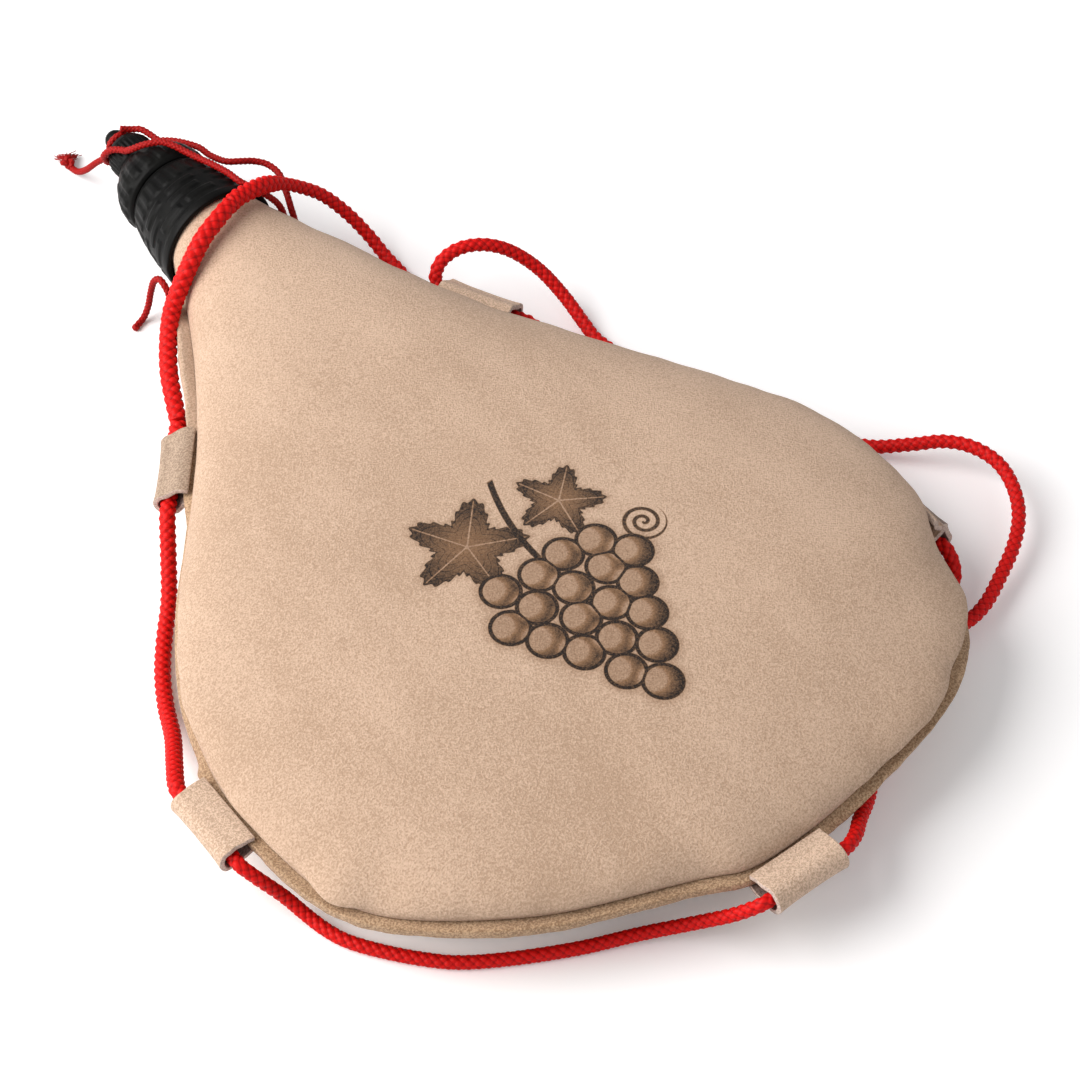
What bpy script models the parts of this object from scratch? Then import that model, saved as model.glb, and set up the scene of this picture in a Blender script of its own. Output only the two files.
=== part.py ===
"""Leather wine bag: two suede panels, a latex liner, a black screw collar and a red cord."""
import math

import bpy
from mathutils import Vector

MM = 0.001
MERGE = 0.00001
TINY = 0.000001

# Driving sizes of the bag, in millimetres. The collar axis runs along +Y, y = 0 at the collar's rim.
COLLAR_X = 10.51
RIM_Y = 118.06
AXIS_Z = 22.0
BODY_LENGTH = 286.7
HALF_WIDTH = 111.7
FRONT_DOME = 20.5
BACK_DOME = 26.0
LEATHER = 1.8
GAP = 0.3
RUNNING = 0.4

# Half outline: share of the length, left share and right share of the half width.
OUTLINE_SHARES = (
    (0.10, 0.270, 0.254),
    (0.25, 0.463, 0.440),
    (0.42, 0.781, 0.733),
    (0.58, 0.962, 0.981),
    (0.72, 0.967, 1.033),
    (0.84, 0.872, 0.938),
    (0.93, 0.552, 0.688),
    (0.98, 0.176, 0.334),
)
CORNER_SHARE = 0.86
SPLINE_STEPS = 14

# Leather neck: it is tied round the insert and flares down to the rim.
NECK_HOLD_RADIUS = 14.0
NECK_FLARE = 3.5
NECK_RADIUS = NECK_HOLD_RADIUS + NECK_FLARE
NECK_TOP = 16.0
# Rows of the neck: share of its height, share of the leather's flare and of the liner's.
NECK_ROW_SHARES = ((1.0, 0.0, 0.0), (0.78, 0.0, 0.0), (0.56, 0.0, 0.0), (0.39, 0.0, 0.0), (0.29, 0.26, 0.0),
                   (0.19, 0.69, 0.5), (0.09, 0.94, 0.83))
# The body leans a few degrees away from the collar axis, bending in the neck.
LEAN_DEG = 4.3
LEAN_PIVOT_Y = -32.0
LEAN_START_Y = -5.0
LEAN_FULL_Y = -60.0
# Fullness of the cross-section and of the rounded bottom.
ACROSS_POWER = 2.8
ACROSS_ROOT = 2.1
ALONG_POWER = 3.0
ALONG_ROOT = 2.2
NECK_POWER = 2.0
SWELL_SHARE = 0.45
PANEL_COLUMNS = 24
PANEL_ROWS_UPPER = 10
PANEL_ROWS_LOWER = 11

# Welt strip sewn between the panels.
WELT_THICK = 2.2
WELT_INSIDE = 3.2
WELT_OUTSIDE = 3.0
WELT_CHAMFER = 0.5
WELT_GROW = 26.0
WELT_STEPS = 74
SEAM_CLEAR = 0.7
SEAM_LIFT = 0.5 * WELT_THICK + SEAM_CLEAR

# Latex liner.
LINER_THICK = 0.7
LINER_EDGE_CLEAR = 1.0
LINER_SLACK = 0.8
LINER_INSET = WELT_INSIDE + LINER_EDGE_CLEAR
LINER_DROP = LEATHER + LINER_SLACK
LINER_HOLD_RADIUS = NECK_HOLD_RADIUS - LEATHER - GAP
LINER_NECK_RADIUS = NECK_RADIUS - LINER_DROP
LINER_COLUMNS = 14
LINER_ROWS_UPPER = 7
LINER_ROWS_LOWER = 7

# Cords.
CORD_RADIUS = 2.1
SPLICE_RADIUS = 2.75
TIE_RADIUS = 1.0
CORD_FINE = 12
CORD_STEP = 8.0
TIE_STEP = 3.4
ROUND_SIDES = 2

# Suede loops. Both ends of each strip hold the welt.
LOOP_WIDTH = 25.0
LOOP_THICK = 1.7
LOOP_EASE = 0.55
LOOP_PINCH = 0.15
LOOP_REACH = 9.0
LOOP_START = 1.1
LOOP_LEG = 0.1
LOOP_TURN = 2.0
LOOP_SPREAD = 0.35
LOOP_DIP = 1.7
LOOP_WRAP_DEG = 97.0
LOOP_LEAD_SHARE = 0.55
LOOP_ARC_STEPS = 7
LOOP_CURVE_STEPS = 3
LOOP_BORE = CORD_RADIUS + LOOP_EASE
LOOP_ROOT = 0.5 * WELT_THICK + LOOP_PINCH + 0.5 * LOOP_THICK
# Each loop: share along the seam, then the cord centre out of the seam and above it, as shares of the reach.
LOOP_SHARES = {
    "loop_right_upper": (0.1012, 0.856, -0.556),
    "loop_right_lower": (0.3065, 0.522, -0.844),
    "loop_bottom": (0.5016, 1.0, 0.0),
    "loop_left_lower": (0.7197, 0.889, -0.167),
    "loop_left_upper": (0.8895, 0.822, -0.444),
}
TANGENT_SPAN = 2.0

# Thread that ties the neck to the insert.
BINDING_RADIUS = 0.75
BINDING_LOW = 7.0
BINDING_PITCH = 1.8
BINDING_STEPS = 24
BINDING_POINTS = 76
THREAD_SIDES = 1

# Neck insert: a flanged tube with a threaded stub. Heights are above the rim.
LATHE_STEPS = 36
BARREL_RADIUS = LINER_HOLD_RADIUS - LINER_THICK - RUNNING
INSERT_WALL = 2.8
INSERT_BORE = BARREL_RADIUS - INSERT_WALL
INSERT_DEPTH = 14.0
INSERT_LIP = 1.8
INSERT_LIP_TALL = 2.8
INSERT_CHAMFER = 0.6
STUB_RADIUS = BARREL_RADIUS - GAP
FLANGE_REACH = 1.9
FLANGE_RADIUS = BARREL_RADIUS + FLANGE_REACH
FLANGE_STEP = 1.6
FLANGE_TALL = 3.6
FLANGE_TAPER = 1.0
FLANGE_LOW = NECK_TOP + FLANGE_STEP
FLANGE_TOP = FLANGE_LOW + FLANGE_TALL

# Flared skirt: it hides the tied neck and rests on the flange.
SKIRT_CROWN = 5.9
SKIRT_LIP = 3.3
SKIRT_WALL = 1.4
SKIRT_EASE = 0.7
BINDING_CLEAR = 0.5
SKIRT_TOP = FLANGE_TOP + GAP + SKIRT_CROWN
SKIRT_TOP_RADIUS = STUB_RADIUS + RUNNING + SKIRT_LIP
MOUTH_RADIUS = NECK_RADIUS + SKIRT_EASE
RIM_RADIUS = MOUTH_RADIUS + SKIRT_WALL
BINDING_TOP = BINDING_LOW + BINDING_PITCH * BINDING_POINTS / BINDING_STEPS + BINDING_RADIUS
BINDING_ROOM = NECK_HOLD_RADIUS + GAP + 2.0 * BINDING_RADIUS + BINDING_CLEAR
# Outside: share of the skirt's height, share of its flare.
SKIRT_OUT_SHARES = ((1.0, 0.0), (0.92, 0.204), (0.73, 0.481), (0.511, 0.704), (0.292, 0.870), (0.044, 1.0),
                    (0.0, 0.981))
# Inside, from the mouth to the binding, and from the binding to the flange.
SKIRT_MOUTH_SHARES = ((0.0, 1.0), (0.075, 0.895), (0.59, 0.42), (1.0, 0.0))
SKIRT_NECK_SHARES = ((0.815, 0.56), (1.0, 0.0))

# Nozzle: a bulge that screws on the stub, a hollow cone and a thin spout.
THREAD_HOLD = 5.2
NOZZLE_LOW = SKIRT_TOP + RUNNING
STUB_TOP = NOZZLE_LOW + THREAD_HOLD
STUB_CHAMFER = 0.5
GASKET_THICK = 1.4
GASKET_SIDE = 0.2
GASKET_LOW = STUB_TOP + GAP
NOZZLE_SEAT = GASKET_LOW + GASKET_THICK + GAP
NOZZLE_CROWN = 9.9
NOZZLE_SHOULDER = NOZZLE_SEAT + NOZZLE_CROWN
BULGE_REACH = 4.45
BULGE_RADIUS = STUB_RADIUS + RUNNING + BULGE_REACH
SPOUT_RADIUS = 4.8
SPOUT_LENGTH = 7.7
SPOUT_CHAMFER = 0.5
SPOUT_TOP = NOZZLE_SHOULDER + SPOUT_LENGTH
JET_RADIUS = 1.3
SHOULDER_REACH = 0.9
# Outside: share of the height from the foot to the shoulder, share from the shoulder's radius to the bulge's.
NOZZLE_OUT_SHARES = ((1.0, 0.0), (0.936, 0.131), (0.830, 0.394), (0.690, 0.613), (0.538, 0.832),
                     (0.386, 0.964), (0.216, 1.0), (0.064, 0.949), (0.0, 0.832))
# Hollow: share of the height from the seat to the tip, share from the jet's radius to the mouth's.
HOLLOW_SHARES = ((0.0, 1.0), (0.205, 0.877), (0.568, 0.2), (0.852, 0.0))

# Cap: a thimble over the spout with a narrow neck and a ball.
CAP_WALL = 2.4
CAP_LIFT = 0.6
CAP_KNOB = 9.4
SEAL_THICK = 0.8
CAP_BORE = SPOUT_RADIUS + RUNNING
CAP_RADIUS = CAP_BORE + CAP_WALL
CAP_LOW = NOZZLE_SHOULDER + CAP_LIFT
SEAL_LOW = SPOUT_TOP + GAP
CAP_SEAT = SEAL_LOW + SEAL_THICK + GAP
CAP_TOP = CAP_SEAT + CAP_KNOB
SHOULDER_RADIUS = CAP_RADIUS + SHOULDER_REACH
# Outside: share of the cap's height, share of its radius.
CAP_OUT_SHARES = ((1.0, 0.0), (0.978, 0.21), (0.922, 0.368), (0.832, 0.46), (0.777, 0.46), (0.693, 0.382),
                  (0.642, 0.342), (0.587, 0.447), (0.536, 0.737), (0.441, 0.921), (0.330, 0.987),
                  (0.05, 1.0), (0.0, 0.961))

# Cord routes, in millimetres from the rim centre, with the height above the table.
LEFT_ROUTE = (
    (-52.2, -53.5, 18.0), (-56.3, -58.4, 18.0), (-64.5, -68.5, 18.0), (-72.8, -78.6, 18.0),
    (-75.6, -82.2, 17.0), (-80.8, -89.6, 11.4), (-87.4, -98.7, 5.2), (-96.1, -108.8, 2.5),
    (-103.2, -118.6, 2.3), (-109.2, -129.4, 3.2), (-115.4, -143.0, 8.0), (-122.8, -156.0, 15.4),
    (-128.0, -165.4, 19.8), (-128.9, -170.2, 20.5), (-129.2, -183.2, 20.5), (-129.4, -196.2, 20.5),
    (-129.2, -198.6, 20.1), (-126.4, -202.6, 16.0), (-121.8, -206.8, 8.6), (-118.8, -212.8, 3.6),
    (-116.9, -219.2, 2.3), (-114.4, -225.6, 2.2), (-109.4, -233.3, 2.2), (-102.4, -242.0, 2.2),
    (-94.7, -249.6, 2.2), (-82.4, -257.6, 2.2), (-66.5, -266.1, 2.4), (-51.6, -273.4, 4.0),
    (-39.6, -282.8, 9.6), (-33.2, -290.0, 16.0), (-28.8, -294.4, 21.2), (-25.6, -295.2, 22.0),
    (-19.4, -295.2, 22.0), (-13.5, -295.2, 22.0),
)
RIGHT_ROUTE = (
    (-13.0, -295.2, 22.0), (-6.6, -295.2, 22.0), (-0.4, -295.2, 22.0), (3.0, -294.9, 21.6), (8.6, -292.0, 18.8),
    (15.0, -287.0, 14.6), (23.5, -281.2, 10.0), (33.0, -273.6, 6.0), (44.0, -266.4, 3.0),
    (56.0, -260.0, 2.2), (70.0, -252.2, 2.15), (82.0, -244.0, 2.15), (92.0, -238.8, 2.5),
    (99.2, -237.0, 6.0), (103.2, -234.0, 11.0), (104.6, -230.0, 14.1), (104.9, -227.6, 14.4),
    (106.6, -215.3, 14.4), (108.5, -202.6, 14.4), (109.0, -199.0, 14.0), (109.2, -190.0, 10.4),
    (107.0, -179.0, 5.8), (102.4, -166.8, 3.0), (96.2, -154.6, 2.2), (89.4, -141.6, 2.2),
    (81.4, -127.0, 2.2), (73.2, -112.0, 3.0), (67.0, -100.4, 7.0), (61.4, -90.0, 13.4),
    (58.8, -84.4, 16.6), (57.1, -80.8, 17.0), (51.8, -69.4, 17.0),
)
SLACK_ROUTE = (
    (51.5, -68.8, 17.0), (46.2, -57.4, 17.0), (45.3, -55.2, 17.3), (46.0, -52.2, 19.8), (49.4, -50.8, 23.2),
    (54.6, -51.4, 25.4), (60.2, -53.4, 25.8), (66.4, -56.2, 23.8), (72.4, -59.8, 19.4),
    (77.6, -65.8, 13.2), (80.2, -74.6, 7.0), (80.0, -84.6, 3.4), (79.4, -92.6, 2.3), (81.6, -104.0, 2.2),
    (88.0, -120.0, 2.2), (96.6, -139.0, 2.2), (105.6, -158.0, 2.2), (111.4, -171.0, 2.6),
    (116.0, -180.4, 4.0), (124.2, -189.2, 7.0), (131.4, -196.0, 9.4), (135.8, -203.6, 10.6),
    (137.4, -212.8, 10.8), (135.2, -221.8, 10.2), (129.8, -230.6, 9.0), (121.0, -238.0, 7.8),
    (109.0, -244.4, 6.8), (98.6, -249.0, 6.6), (89.0, -250.4, 6.8), (81.6, -247.4, 6.8),
    (78.4, -243.2, 6.2), (76.6, -237.8, 3.4), (77.9, -230.0, 2.3), (82.6, -221.0, 2.2), (87.0, -209.6, 2.2), (88.6, -194.0, 2.2), (86.0, -176.0, 2.2),
    (79.6, -158.0, 2.2), (69.0, -136.0, 2.2), (57.6, -113.0, 2.2), (48.0, -90.0, 2.2), (42.6, -72.0, 2.2),
    (41.6, -56.0, 2.2), (45.4, -42.0, 2.2), (48.0, -32.0, 2.4), (47.8, -22.0, 4.2), (46.6, -14.8, 8.6),
    (43.2, -8.2, 15.4), (37.6, -3.4, 23.0), (30.0, -1.2, 29.7), (22.0, -1.6, 36.1), (14.4, -3.4, 40.6),
    (5.4, -5.4, 43.0), (1.0, -7.2, 43.7),
)
SPLICE_ROUTE = (
    (0.6, -7.4, 43.8), (-4.8, -9.7, 43.8), (-13.3, -12.6, 41.6), (-20.8, -15.6, 37.0), (-26.2, -17.2, 31.2),
    (-31.0, -19.4, 26.2), (-37.0, -26.0, 23.0), (-43.6, -35.8, 21.0), (-48.8, -46.4, 19.0),
    (-51.5, -52.4, 18.2),
)
TIE_WRAP_ROUTE = (
    (-8.3, 79.1, 1.1), (-8.4, 74.0, 2.8), (-7.9, 68.6, 7.4), (-6.6, 63.6, 13.4),
    (-4.3, 59.0, 18.4), (-4.5, 57.6, 21.8), (-3.4, 57.4, 24.9), (-0.6, 57.3, 26.4),
    (2.5, 57.2, 25.7), (4.3, 57.2, 23.1), (4.0, 57.1, 19.9), (1.6, 57.0, 17.6),
    (-2.0, 56.8, 17.0), (-6.1, 56.0, 19.0), (-8.2, 54.3, 24.3), (-6.8, 51.4, 28.1),
    (-5.1, 48.2, 29.6), (-4.9, 45.2, 31.1),
)
TIE_ROUTE = (
    (-4.8, 44.8, 31.5), (-4.4, 41.8, 34.2), (-1.6, 38.4, 37.0),
    (2.6, 35.0, 38.2), (4.9, 31.0, 38.2), (6.6, 27.0, 37.6), (8.1, 21.6, 37.9),
    (9.6, 15.6, 38.6), (10.8, 9.0, 39.3), (11.6, 3.0, 39.3), (16.4, -1.8, 35.3),
    (21.0, -3.5, 28.2), (22.0, -4.0, 19.6), (19.2, -4.2, 11.6), (13.0, -4.2, 5.4),
    (5.0, -4.2, 2.8), (-5.0, -4.4, 2.8), (-14.0, -4.8, 4.6), (-20.4, -4.8, 9.0),
    (-22.4, -3.8, 15.6), (-20.8, -1.9, 21.4), (-21.4, 1.2, 20.0), (-22.8, 3.2, 13.4),
    (-24.6, 4.8, 6.0), (-27.6, 7.0, 1.6), (-31.6, 9.6, 1.1),
)
TIE_WRAP_RETURN_ROUTE = (
    (0.7, 57.3, 28.8), (3.7, 56.0, 27.9), (6.2, 53.8, 28.0), (7.5, 50.4, 27.5), (8.1, 46.9, 27.1),
)
TIE_RETURN_ROUTE = (
    (8.3, 46.5, 27.2), (11.0, 42.8, 28.3), (13.5, 38.6, 28.9), (15.6, 33.6, 29.3),
    (16.2, 28.0, 29.6), (17.4, 21.0, 31.6), (21.0, 18.2, 31.6), (25.2, 16.6, 30.4),
    (28.2, 13.4, 29.6), (29.0, 8.4, 29.0), (27.6, 3.6, 28.0), (25.6, -2.6, 24.6),
    (24.6, -6.0, 17.4), (19.4, -7.2, 8.8), (12.0, -7.4, 4.0), (3.0, -7.4, 2.6),
    (-6.0, -7.4, 2.4), (-15.0, -6.0, 1.5), (-21.6, -2.4, 1.1), (-27.2, 2.2, 1.1),
)
TUFT_REACH = 7.4
TUFT_KNOT = 1.9
# Tuft beyond the cord's end: shares of its reach sideways and along, and share of the knot's radius.
TUFT_SHARES = ((0.0, 0.04, 0.5), (0.0, 0.12, 0.9), (0.01, 0.32, 1.0), (0.0, 0.49, 0.75), (0.04, 0.73, 1.0),
               (0.12, 1.0, 0.6))


def clear_scene():
    """Remove the start-up objects."""
    for old in list(bpy.data.objects):
        bpy.data.objects.remove(old, do_unlink=True)


def collection(name):
    """Make a collection under the scene."""
    made = bpy.data.collections.new(name)
    bpy.context.scene.collection.children.link(made)
    return made


def material(name, colour, roughness):
    """Plain surface colour for one part."""
    made = bpy.data.materials.new(name)
    made.use_nodes = True
    shader = made.node_tree.nodes["Principled BSDF"]
    shader.inputs["Base Color"].default_value = (colour[0], colour[1], colour[2], 1.0)
    shader.inputs["Roughness"].default_value = roughness
    return made


SUEDE = (0.62, 0.47, 0.33)
SUEDE_EDGE = (0.50, 0.36, 0.23)
LATEX = (0.72, 0.55, 0.33)
BLACK = (0.02, 0.02, 0.022)
DARK_RUBBER = (0.05, 0.05, 0.05)
RED = (0.62, 0.02, 0.02)
LINEN = (0.55, 0.48, 0.36)


def finish(item, colour, roughness):
    """Link the object and give it a material of its own."""
    BAG.objects.link(item)
    item.data.materials.append(material(item.name + "_mat", colour, roughness))
    for mod in item.modifiers:
        mod.show_viewport = True
    return item


def mesh_object(name, points, faces, colour, roughness):
    """Object from lofted points in millimetres."""
    data = bpy.data.meshes.new(name)
    data.from_pydata([(x * MM, y * MM, z * MM) for x, y, z in points], [], faces)
    data.update()
    for face in data.polygons:
        face.use_smooth = True
    return finish(bpy.data.objects.new(name, data), colour, roughness)


def smooth_step(value):
    """Ease from nought to one."""
    held = min(max(value, 0.0), 1.0)
    return held * held * (3.0 - 2.0 * held)


def lean(x, y):
    """Turn a point of the straight bag about the neck, more the lower it lies, into the row frame."""
    share = smooth_step((LEAN_START_Y - y) / (LEAN_START_Y - LEAN_FULL_Y))
    angle = -math.radians(LEAN_DEG) * share
    px = x
    py = y - LEAN_PIVOT_Y
    qx = px * math.cos(angle) - py * math.sin(angle)
    qy = px * math.sin(angle) + py * math.cos(angle)
    return COLLAR_X + qx, RIM_Y + LEAN_PIVOT_Y + qy


def spline(points, steps):
    """Smooth curve through hand-placed points."""
    first = [2.0 * a - b for a, b in zip(points[0], points[1])]
    last = [2.0 * a - b for a, b in zip(points[-1], points[-2])]
    knots = [first] + [list(p) for p in points] + [last]
    out = []
    for i in range(1, len(knots) - 2):
        for k in range(steps):
            t = k / steps
            out.append(tuple(
                0.5 * (2.0 * b + (c - a) * t + (2.0 * a - 5.0 * b + 4.0 * c - d) * t * t
                       + (3.0 * b - a - 3.0 * c + d) * t * t * t)
                for a, b, c, d in zip(knots[i - 1], knots[i], knots[i + 1], knots[i + 2])))
    out.append(tuple(points[-1]))
    return out


def lengths(points):
    """Running length of a polyline."""
    run = [0.0]
    for a, b in zip(points, points[1:]):
        run.append(run[-1] + math.dist(a, b))
    return run


def at_length(points, run, where):
    """Point of a polyline at a running length."""
    held = min(max(where, 0.0), run[-1])
    for i in range(1, len(run)):
        if run[i] >= held:
            span = max(run[i] - run[i - 1], TINY)
            t = (held - run[i - 1]) / span
            return tuple(a + (b - a) * t for a, b in zip(points[i - 1], points[i]))
    return tuple(points[-1])


def whole_outline():
    """Seam line of the straight bag, from the right of the neck round the bottom to the left."""
    right = [(NECK_RADIUS, 0.0)] + [(r * HALF_WIDTH, -s * BODY_LENGTH) for s, l, r in OUTLINE_SHARES]
    left = [(-NECK_RADIUS, 0.0)] + [(-l * HALF_WIDTH, -s * BODY_LENGTH) for s, l, r in OUTLINE_SHARES]
    return spline(right + [(0.0, -BODY_LENGTH)] + left[::-1], SPLINE_STEPS)


def inset_line(points, inset):
    """Line moved inward, square to itself."""
    out = []
    for i, point in enumerate(points):
        a = points[max(i - 1, 0)]
        b = points[min(i + 1, len(points) - 1)]
        dx = b[0] - a[0]
        dy = b[1] - a[1]
        size = math.hypot(dx, dy)
        out.append((point[0] + inset * dy / size, point[1] - inset * dx / size))
    return out


def split_outline(inset, neck):
    """Right side, bottom and left side of the seam line, moved inward; the neck end keeps its radius."""
    line = inset_line(whole_outline(), inset)
    line[0] = (neck, 0.0)
    line[-1] = (-neck, 0.0)
    corner = -CORNER_SHARE * BODY_LENGTH
    half = len(line) // 2
    first = min(range(half), key=lambda i: abs(line[i][1] - corner))
    last = min(range(half, len(line)), key=lambda i: abs(line[i][1] - corner))
    return line[:first + 1], line[first:last + 1], line[last:][::-1]


def eased(count):
    """Positions from nought to one, closer together towards one."""
    return [math.sin(0.5 * math.pi * i / count) for i in range(count + 1)]


def sheet(inset, neck, lift, dome, floor, neck_rows, columns, upper, lower):
    """Grid of one side of the bag, rows from the neck end to the bottom, columns from left to right."""
    right, bottom, left = split_outline(inset, neck)
    right_run = lengths(right)
    left_run = lengths(left)
    bottom_run = lengths(bottom)
    across = [-u for u in eased(columns // 2)[::-1]] + eased(columns // 2)[1:]
    down = [SWELL_SHARE * i / upper for i in range(upper)]
    down += [SWELL_SHARE + (1.0 - SWELL_SHARE) * v for v in eased(lower)]
    rows = []
    for height, radius in neck_rows:
        row = []
        reach = math.sqrt(radius * radius - lift * lift)
        for u in across:
            x = u * reach
            row.append((COLLAR_X + x, RIM_Y + height, math.sqrt(radius * radius - x * x)))
        rows.append(row)
    length = -at_length(bottom, bottom_run, 0.5 * bottom_run[-1])[1]
    for v in down:
        swell = smooth_step(v / SWELL_SHARE)
        power = NECK_POWER + (ACROSS_POWER - NECK_POWER) * swell
        root = NECK_POWER + (ACROSS_ROOT - NECK_POWER) * swell
        fall = max(v - SWELL_SHARE, 0.0) / (1.0 - SWELL_SHARE)
        tall = neck + (dome - neck) * swell - lift
        tall *= max(1.0 - fall ** ALONG_POWER, 0.0) ** (1.0 / ALONG_ROOT)
        r = at_length(right, right_run, v * right_run[-1])
        s = at_length(left, left_run, v * left_run[-1])
        row = []
        for u in across:
            share = 0.5 * (u + 1.0)
            b = at_length(bottom, bottom_run, (1.0 - share) * bottom_run[-1])
            side = [s[k] + (r[k] - s[k]) * share for k in range(2)]
            ends = [u * neck * (1.0 - v) + b[0] * v, b[1] * v]
            low = [left[-1][k] + (right[-1][k] - left[-1][k]) * share for k in range(2)]
            mix = [u * neck * (1.0 - v) + low[0] * v, low[1] * v]
            x = side[0] + ends[0] - mix[0]
            y = side[1] + ends[1] - mix[1]
            z = lift + tall * max(1.0 - abs(u) ** power, 0.0) ** (1.0 / root)
            row.append((*lean(x, y), min(z, floor)))
        rows.append(row)
    return rows, length


def grid_faces(rows, columns, flip):
    """Quads of a grid."""
    faces = []
    for i in range(rows - 1):
        for j in range(columns - 1):
            a = i * columns + j
            quad = (a, a + 1, a + columns + 1, a + columns)
            faces.append(quad[::-1] if flip else quad)
    return faces


def leather_neck():
    """Heights and radii of the leather neck, from the tied radius to the rim's."""
    return [(tall * NECK_TOP, NECK_HOLD_RADIUS + NECK_FLARE * flare) for tall, flare, _ in NECK_ROW_SHARES]


def liner_neck():
    """Heights and radii of the liner's neck inside the leather."""
    flare = LINER_NECK_RADIUS - LINER_HOLD_RADIUS
    return [(tall * NECK_TOP, LINER_HOLD_RADIUS + flare * share) for tall, _, share in NECK_ROW_SHARES]


def panel(name, up, dome, floor, colour):
    """One suede panel: a lofted skin thickened inward."""
    rows, _ = sheet(0.0, NECK_RADIUS, SEAM_LIFT, dome, floor, leather_neck(),
                    PANEL_COLUMNS, PANEL_ROWS_UPPER, PANEL_ROWS_LOWER)
    points = [(x, y, AXIS_Z + up * z) for row in rows for x, y, z in row]
    made = mesh_object(name, points, grid_faces(len(rows), len(rows[0]), up > 0), colour, 0.9)
    skin = made.modifiers.new("suede", "SOLIDIFY")
    skin.thickness = LEATHER * MM
    skin.offset = -1.0
    skin.use_even_offset = True
    return made


def liner():
    """Latex bag inside the panels: two lofted skins sharing their edge, one open neck."""
    neck = liner_neck()
    top, _ = sheet(LINER_INSET, LINER_NECK_RADIUS, 0.0, FRONT_DOME - LINER_DROP, FRONT_DOME,
                   neck, LINER_COLUMNS, LINER_ROWS_UPPER, LINER_ROWS_LOWER)
    low, _ = sheet(LINER_INSET, LINER_NECK_RADIUS, 0.0, BACK_DOME - LINER_DROP,
                   AXIS_Z - LEATHER - 2.0 * GAP, neck, LINER_COLUMNS, LINER_ROWS_UPPER,
                   LINER_ROWS_LOWER)
    count = len(top[0])
    points = [(x, y, AXIS_Z + z) for row in top for x, y, z in row]
    index = {}
    for i, row in enumerate(low):
        for j, (x, y, z) in enumerate(row):
            edge = j in (0, count - 1) or i == len(low) - 1
            if edge:
                index[i, j] = i * count + j
            else:
                index[i, j] = len(points)
                points.append((x, y, AXIS_Z - z))
    faces = grid_faces(len(top), count, True)
    for i in range(len(low) - 1):
        for j in range(count - 1):
            quad = (index[i, j], index[i, j + 1], index[i + 1, j + 1], index[i + 1, j])
            faces.append(quad)
    made = mesh_object("liner", points, faces, LATEX, 0.5)
    skin = made.modifiers.new("latex", "SOLIDIFY")
    skin.thickness = LINER_THICK * MM
    skin.offset = -1.0
    skin.use_even_offset = True
    return made


def welt():
    """Strip of suede between the panels, following the seam from one side of the neck to the other."""
    line = whole_outline()
    run = lengths(line)
    rows = leather_neck()
    neck = [rows[0][::-1]] + [row[::-1] for row in rows[3:6]]
    spots = [at_length(line, run, run[-1] * i / WELT_STEPS) for i in range(WELT_STEPS + 1)]
    path = neck + spots + [(-x, y) for x, y in neck[::-1]]
    points = []
    half = 0.5 * WELT_THICK
    for i, spot in enumerate(path):
        a = path[max(i - 1, 0)]
        b = path[min(i + 1, len(path) - 1)]
        dx = b[0] - a[0]
        dy = b[1] - a[1]
        size = math.hypot(dx, dy)
        nx = -dy / size
        ny = dx / size
        if spot[1] >= 0.0:
            nx = math.copysign(1.0, spot[0])
            ny = 0.0
        grow = smooth_step(-spot[1] / WELT_GROW)
        inside = LEATHER + (WELT_INSIDE - LEATHER) * grow
        outside = WELT_OUTSIDE * grow
        flat = outside - WELT_CHAMFER * grow
        for reach, z in ((-inside, -half), (flat, -half), (outside, -0.5 * half),
                         (outside, 0.5 * half), (flat, half), (-inside, half)):
            x = spot[0] + nx * reach
            y = spot[1] + ny * reach
            points.append((*lean(x, y), AXIS_Z + z))
    ring = 6
    faces = []
    for i in range(len(path) - 1):
        for j in range(ring):
            a = i * ring + j
            b = i * ring + (j + 1) % ring
            faces.append((b, b + ring, a + ring, a))
    faces.append(tuple(range(ring))[::-1])
    faces.append(tuple(range((len(path) - 1) * ring, len(path) * ring)))
    return mesh_object("seam_welt", points, faces, SUEDE_EDGE, 0.92)


def seam_spot(share):
    """Place and outward direction on the leaned seam line at a share of its length."""
    line = [lean(x, y) for x, y in whole_outline()]
    run = lengths(line)
    here = at_length(line, run, share * run[-1])
    a = at_length(line, run, share * run[-1] - TANGENT_SPAN)
    b = at_length(line, run, share * run[-1] + TANGENT_SPAN)
    angle = math.atan2(b[1] - a[1], b[0] - a[0]) + 0.5 * math.pi
    return here, angle


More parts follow.
